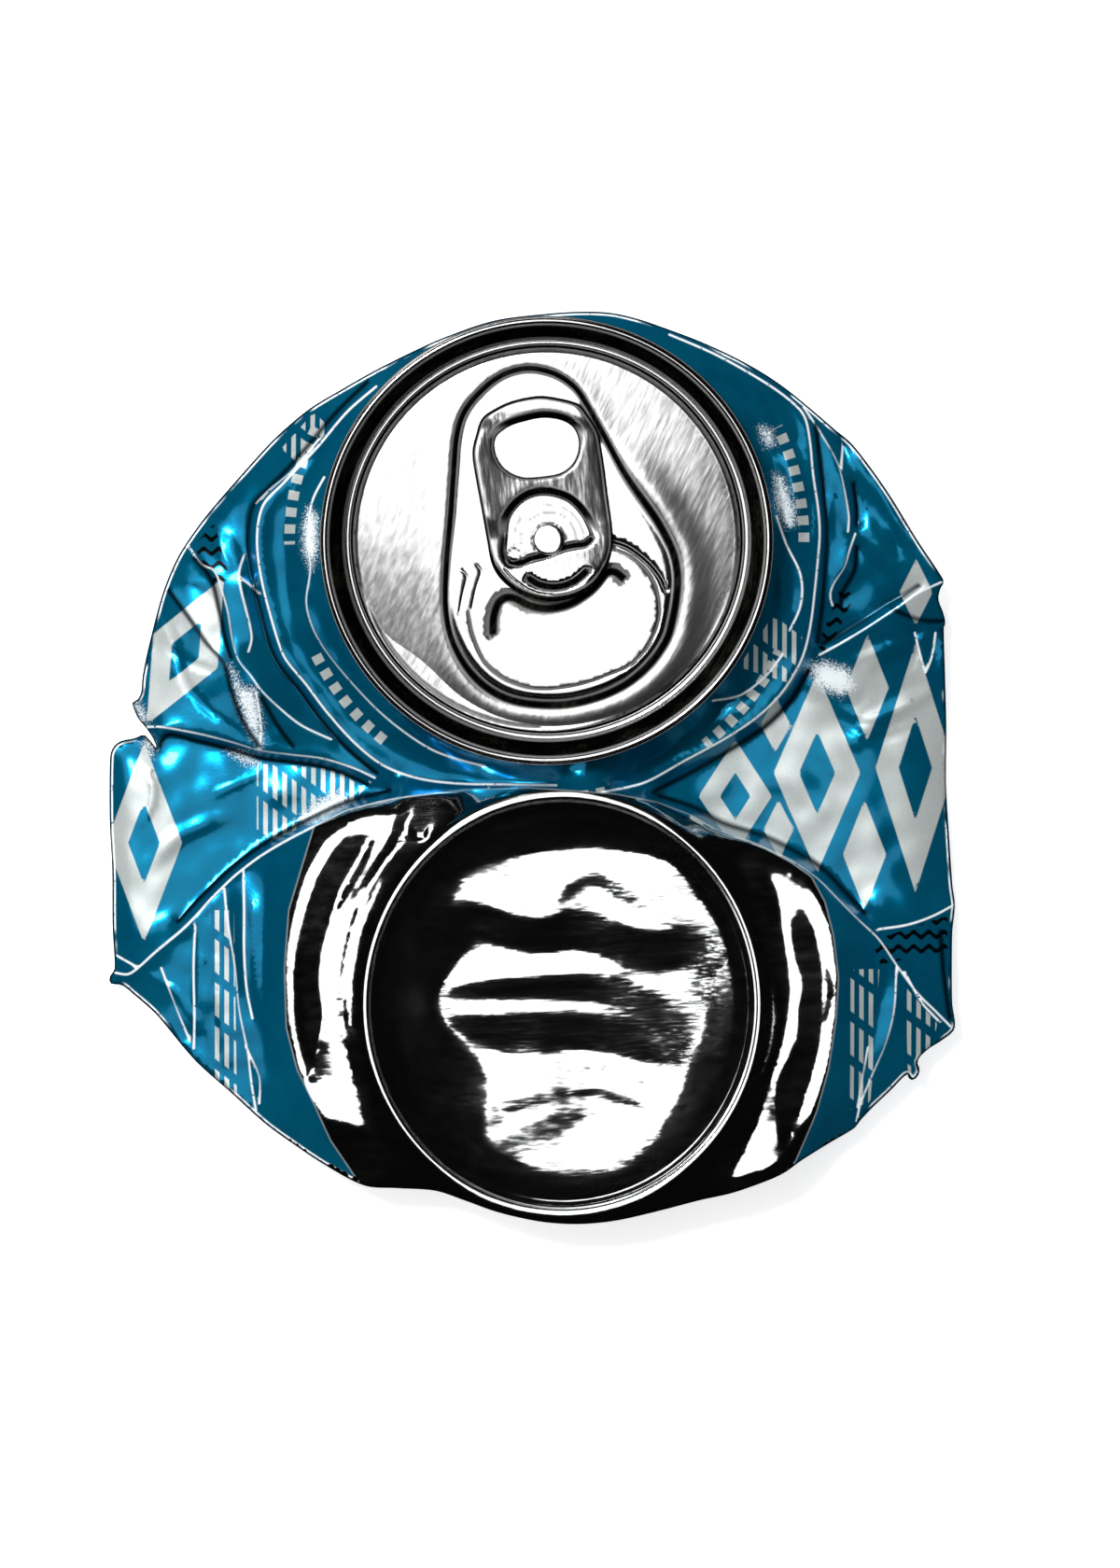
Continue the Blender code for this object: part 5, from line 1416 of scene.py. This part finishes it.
class Paint:
    """A node material under one Principled shader."""

    def __init__(self, name):
        self.material = bpy.data.materials.new(name)
        self.material.use_nodes = True
        self.tree = self.material.node_tree
        self.shader = self.tree.nodes["Principled BSDF"]
        self.place = self.node("ShaderNodeTexCoord").outputs["Object"]
        axes = self.node("ShaderNodeSeparateXYZ", {"Vector": self.place}).outputs
        self.x, self.y = Number(self, axes["X"]), Number(self, axes["Y"])

    def node(self, kind, inputs=None, **settings):
        made = self.tree.nodes.new(kind)
        for key, value in settings.items():
            setattr(made, key, value)
        for key, value in (inputs or {}).items():
            self.feed(made.inputs[key], value)
        return made

    def feed(self, socket, value):
        if isinstance(value, Number):
            value = value.socket
        if isinstance(value, bpy.types.NodeSocket):
            self.tree.links.new(value, socket)
        else:
            socket.default_value = value

    def attribute(self, name):
        return Number(self, self.node("ShaderNodeAttribute", attribute_name=name).outputs["Fac"])

    def noise(self, scale, stretch=(1, 1, 1), turn=0, detail=2, rough=0.5):
        """Noise whose scale is in waves per metre."""
        turned = self.node("ShaderNodeVectorRotate", {"Vector": self.place, "Angle": math.radians(-turn)})
        mapping = self.node("ShaderNodeMapping", {"Vector": turned.outputs["Vector"], "Scale": stretch})
        inputs = {"Vector": mapping.outputs["Vector"], "Scale": scale, "Detail": detail, "Roughness": rough}
        return Number(self, self.node("ShaderNodeTexNoise", inputs).outputs["Fac"])

    def math(self, operation, a, b=0.0):
        return Number(self, self.node("ShaderNodeMath", {0: a, 1: b}, operation=operation).outputs["Value"])

    def mix(self, share, a, b):
        made = self.node("ShaderNodeMix", data_type="RGBA")
        colours = [socket for socket in made.inputs if socket.type == "RGBA"]
        for socket, value in ((made.inputs["Factor"], share), (colours[0], a), (colours[1], b)):
            self.feed(socket, value)
        return next(socket for socket in made.outputs if socket.type == "RGBA")

    def bump(self, height, distance, normal):
        inputs = {"Height": height, "Distance": distance * MM, "Strength": 1.0, "Normal": normal}
        return self.node("ShaderNodeBump", inputs).outputs["Normal"]

    def leaned(self, across, along):
        """The surface's normal, tipped along X and Y by two noises, each with its amount."""
        tips = {axis: (value - 0.5) * amount for axis, (value, amount) in (("X", across), ("Y", along))}
        tip = self.node("ShaderNodeCombineXYZ", tips).outputs["Vector"]
        facing = self.node("ShaderNodeNewGeometry").outputs["Normal"]
        added = self.node("ShaderNodeVectorMath", {0: facing, 1: tip}, operation="ADD").outputs["Vector"]
        return self.node("ShaderNodeVectorMath", {0: added}, operation="NORMALIZE").outputs["Vector"]

    def finish(self, base, metallic, roughness, **inputs):
        """The material, with no gloss but the metal's own unless inputs add some."""
        usual = {"Base Color": base, "Metallic": metallic, "Roughness": roughness, "Specular IOR Level": 0.0}
        for key, value in {**usual, **inputs}.items():
            self.feed(self.shader.inputs[key], value)
        return self.material


def colour(red, green, blue):
    return (red, green, blue, 1)


STRIPE_WIDTH = 1.15 * MM
STRIPE_LENGTH = 5.2 * MM
STRIPE_SLANT = 900
WAVE_GAP = 1.7 * MM
# turns per metre of the waves along X, and their swing
WAVE_RATE = 3400
WAVE_SWING = 1.1
# the row of dashes round the collar: its middle, radii, and dashes in a full turn
DASH_CENTRE = Vector((1.8, 27, 0)) * MM
DASH_RADII = (30 * MM, 31.3 * MM)
DASH_BLUR = 0.1 * MM
DASHES = 96
DASH_GROUPS = 7


def fine_print(paint):
    """Where there are fine silver marks and black waves, from 0 to 1."""
    x, y = paint.x, paint.y
    across = (x * (TURN / STRIPE_WIDTH)).sine()
    along = (y * (TURN / STRIPE_LENGTH) + x * STRIPE_SLANT).sine()
    marks = across.ramp(-0.1, 0.25) * along.ramp(-0.8, -0.65) * paint.attribute("stripes").ramp(0, 0.1)
    flat = paint.node("ShaderNodeCombineXYZ", {"X": x, "Y": y}).outputs["Vector"]
    from_centre = paint.node("ShaderNodeVectorMath", {0: flat, 1: DASH_CENTRE}, operation="DISTANCE")
    radius = Number(paint, from_centre.outputs["Value"])
    angle = paint.math("ARCTAN2", y - DASH_CENTRE.y, x - DASH_CENTRE.x)
    dash = (angle * DASHES).sine().ramp(-0.25, -0.05) * (angle * DASH_GROUPS).sine().ramp(-0.1, -0.05)
    within, beyond = (radius.ramp(edge, edge + DASH_BLUR) for edge in DASH_RADII)
    swing = (x * WAVE_RATE).sine() * WAVE_SWING
    wave = (y * (TURN / WAVE_GAP) + swing).sine()
    waves = wave.ramp(0.35, 0.55) * paint.attribute("waves").ramp(0, 0.15)
    return marks.or_more(dash * (within - beyond)), waves


def printed_metal():
    """Blue and silver ink on the wall, and bare drawn metal at its base."""
    paint = Paint("printed_metal")
    bare = paint.attribute("bare").ramp(-0.15, 0.15)
    dome = paint.attribute("dome").ramp(0, 1.5)
    rim = paint.attribute("rim")
    printed = 1.0 - bare
    marks, waves = fine_print(paint)
    silver = paint.attribute("silver").ramp(-0.08, 0.08).or_more(marks)
    grain = paint.noise(4800, detail=3, rough=0.6)
    speckle = grain.ramp(0.3, 0.7)
    cloud = paint.noise(90, detail=3)
    blue = paint.mix(speckle, colour(0.0005, 0.12, 0.235), colour(0.0005, 0.15, 0.285))
    blue = paint.mix(cloud.ramp(0.4, 0.7, 0, 0.5), blue, colour(0.004, 0.24, 0.41))
    light = paint.mix(speckle, colour(0.5, 0.55, 0.54), colour(0.58, 0.63, 0.62))
    ink = paint.mix(waves, paint.mix(silver, blue, light), colour(0.004, 0.006, 0.008))

    # painted highlights on the folds (partly rubbed-off ink) and in patches,
    # and painted shade at the feet of the steps and along the outline
    flakes = paint.noise(1500, detail=3, rough=0.6)
    # painted highlight: a thin white line just inside the outline
    rim_highlight = (rim.ramp(0.2, 0.26) - rim.ramp(0.4, 0.5)) * cloud.ramp(0.45, 0.5)
    # painted highlight along the ridges, partly ink rubbed off the folds
    wear_and_highlight = (1.0 - paint.attribute("ridge").ramp(0.05, 0.22)).or_more(rim_highlight) * flakes.ramp(0.3, 0.4)
    # painted highlights: the listed patches turned white, with grainy edges
    highlight_patches = paint.attribute("painted_highlights") + grain.ramp(0.3, 0.7, -0.7, 0.7)
    wear_and_highlight = wear_and_highlight.or_more(highlight_patches.ramp(-0.4, 0.6))
    # the white paints the highlights as well as the rubbed-off ink
    ink = paint.mix(wear_and_highlight, ink, colour(0.9, 0.97, 1))
    # painted shade: the print goes near black along the feet of the steps and along the outline
    dark_shade = (1.0 - paint.attribute("foot").ramp(0.1, 0.5)).or_more(1.0 - rim.ramp(0.1, 0.22))
    ink = paint.mix(dark_shade * 0.92, ink, colour(0.001, 0.006, 0.01))

    # the drawn metal
    streaks = paint.noise(900, stretch=(0.12, 1, 1), turn=3, detail=4, rough=0.65)
    metal = paint.mix(streaks.ramp(0.3, 0.7), colour(0.8, 0.82, 0.82), colour(0.92, 0.93, 0.93))
    rough_print = grain.ramp(0.3, 0.7, 0.17, 0.24) + silver.ramp(0, 1, 0, 0.2)
    rough_bare = streaks.ramp(0.3, 0.7, 0.08, 0.14) + dome.ramp(0, 1, 0, 0.04)
    metallic = bare.or_more(silver.ramp(0, 1, 0.6, 0.3)) * (1.0 - wear_and_highlight * printed)
    drawn = paint.noise(3200, stretch=(0.1, 1, 1), turn=3, detail=3, rough=0.6)
    across = paint.noise(2400, stretch=(0.2, 1, 1), turn=3, detail=2)
    lean = bare * dome.ramp(0, 1, 0.12, 0.42)
    normal = paint.bump(grain * printed, 0.006, paint.leaned((across, lean * 0.5), (drawn, lean)))
    return paint.finish(
        paint.mix(bare, ink, metal), metallic, rough_print * printed + rough_bare * bare,
        **{"Normal": normal, "Coat Weight": 0.2, "Coat Roughness": 0.06},
    )


def brushed_metal(name, turn, bright, rough, lean):
    """Rolled metal with its grain turned from Y. lean is how far the grain tips the surface."""
    paint = Paint(name)
    streaks = paint.noise(2800, stretch=(1, 0.1, 1), turn=turn, detail=3, rough=0.6)
    along = paint.noise(2200, stretch=(1, 0.2, 1), turn=turn, detail=2)
    cloud = paint.noise(160, detail=3)
    painted_shade, grain = paint.attribute("painted_shade"), paint.attribute("grain")
    metal = paint.mix(streaks.ramp(0.35, 0.65), colour(*[0.8 * bright] * 3), colour(*[bright] * 3))
    smudges = (cloud * streaks).ramp(0.25, 0.42)
    # painted shade: near black, with faint olive smudges, where the lid and tab are shaded; the metal there
    # is also rougher and less metallic
    dark_shade = paint.mix(smudges, colour(0.0008, 0.0009, 0.0008), colour(0.018, 0.019, 0.014))
    roughness = cloud.ramp(0.3, 0.7, rough * 0.8, rough * 1.25) + grain * 0.22 + painted_shade * 0.4
    amount = grain * lean
    normal = paint.leaned((streaks, amount), (along, amount * 0.5))
    return paint.finish(paint.mix(painted_shade, metal, dark_shade), 1.0 - painted_shade, roughness, Normal=normal)


def floor_paint():
    paint = Paint("floor_paint")
    base = paint.mix(paint.noise(3, detail=3), colour(0.9, 0.9, 0.9), colour(0.93, 0.93, 0.93))
    glow = {"Emission Color": colour(1, 1, 1), "Emission Strength": 0.72}
    return paint.finish(base, 0.0, 0.9, **glow)


# ---------------------------------------------------------------------------------------------------------
# Room, light and camera
# ---------------------------------------------------------------------------------------------------------

CAMERA_PLACE = Vector((3.39, -1.94, 0)) * MM
CAMERA_ABOVE = 1.2
FOCUS_HEIGHT = 0.012
# 1200 pixels at 9 to the millimetre
FRAME_WIDTH = 1200 / 9 * MM
SENSOR = 36
# name: middle (x, y, z) and size (x, y) in metres, and radiance
LIGHTS = {
    "key": ((-0.564, 0.62, 1.6), (1.513, 2.02), 1.45),
    "core": ((-0.49, 0.55, 1.55), (0.3, 0.38), 60.0),
}
ROOM_LIGHT = 0.002
FLOOR_PROFILE = [(0, 0), (0.5, 0), (1.7, 0)]
BACKDROP_PROFILE = [(1.7, 0), (2.0, 0.03), (2.3, 0.12), (2.5, 0.3), (2.6, 0.5), (2.65, 0.75)]
FLOOR_DROP = 0.0002
ROOM_SEGMENTS = 64


def round_sheet(name, profile):
    """An open surface turned from a profile in metres, which the metal doesn't mirror."""
    points = ring_points([(radius, z - FLOOR_DROP) for radius, z in profile], ROOM_SEGMENTS)
    mesh = bpy.data.meshes.new(name)
    mesh.from_pydata(points.tolist(), [], between_rings(len(profile), ROOM_SEGMENTS))
    mesh.materials.append(floor_paint())
    made = in_scene(name, mesh)
    made.visible_glossy = False
    return made


def make_lights():
    for name, (place, (width, height), radiance) in LIGHTS.items():
        lamp = bpy.data.lights.new(name, "AREA")
        lamp.shape = "RECTANGLE"
        lamp.size, lamp.size_y = width, height
        lamp.energy = radiance * math.pi * width * height
        made = bpy.data.objects.new(name, lamp)
        made.location = place
        bpy.context.scene.collection.objects.link(made)
    world = bpy.data.worlds.new("room")
    bpy.context.scene.world = world
    world.use_nodes = True
    background = world.node_tree.nodes["Background"].inputs
    background["Color"].default_value = colour(1, 1, 1)
    background["Strength"].default_value = ROOM_LIGHT


def make_camera():
    lens = bpy.data.cameras.new("camera")
    lens.sensor_fit = "HORIZONTAL"
    lens.sensor_width = SENSOR
    lens.lens = SENSOR * CAMERA_ABOVE / FRAME_WIDTH
    camera = bpy.data.objects.new("camera", lens)
    camera.location = CAMERA_PLACE + Vector((0, 0, CAMERA_ABOVE + FOCUS_HEIGHT))
    bpy.context.scene.collection.objects.link(camera)
    bpy.context.scene.camera = camera
    bpy.context.scene.view_settings.view_transform = "Standard"


make_camera()
floor = round_sheet("floor", FLOOR_PROFILE)
backdrop = round_sheet("backdrop", BACKDROP_PROFILE)
make_lights()

body = make_body()
body.data.materials.append(printed_metal())
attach(body, "root")
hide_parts("can_body")

lid = make_lid()
lid.data.materials.append(brushed_metal("lid_metal", -25, 0.92, 0.1, 0.36))
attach(lid, "root")
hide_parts("can_end")

tab = make_tab()
tab.data.materials.append(brushed_metal("tab_metal", 6, 0.82, 0.1, 0.7))
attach(tab, "root")
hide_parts("pull_tab")

rivet = make_rivet()
rivet.data.materials.append(brushed_metal("rivet_metal", 0, 0.92, 0.08, 0.1))
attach(rivet, "root")
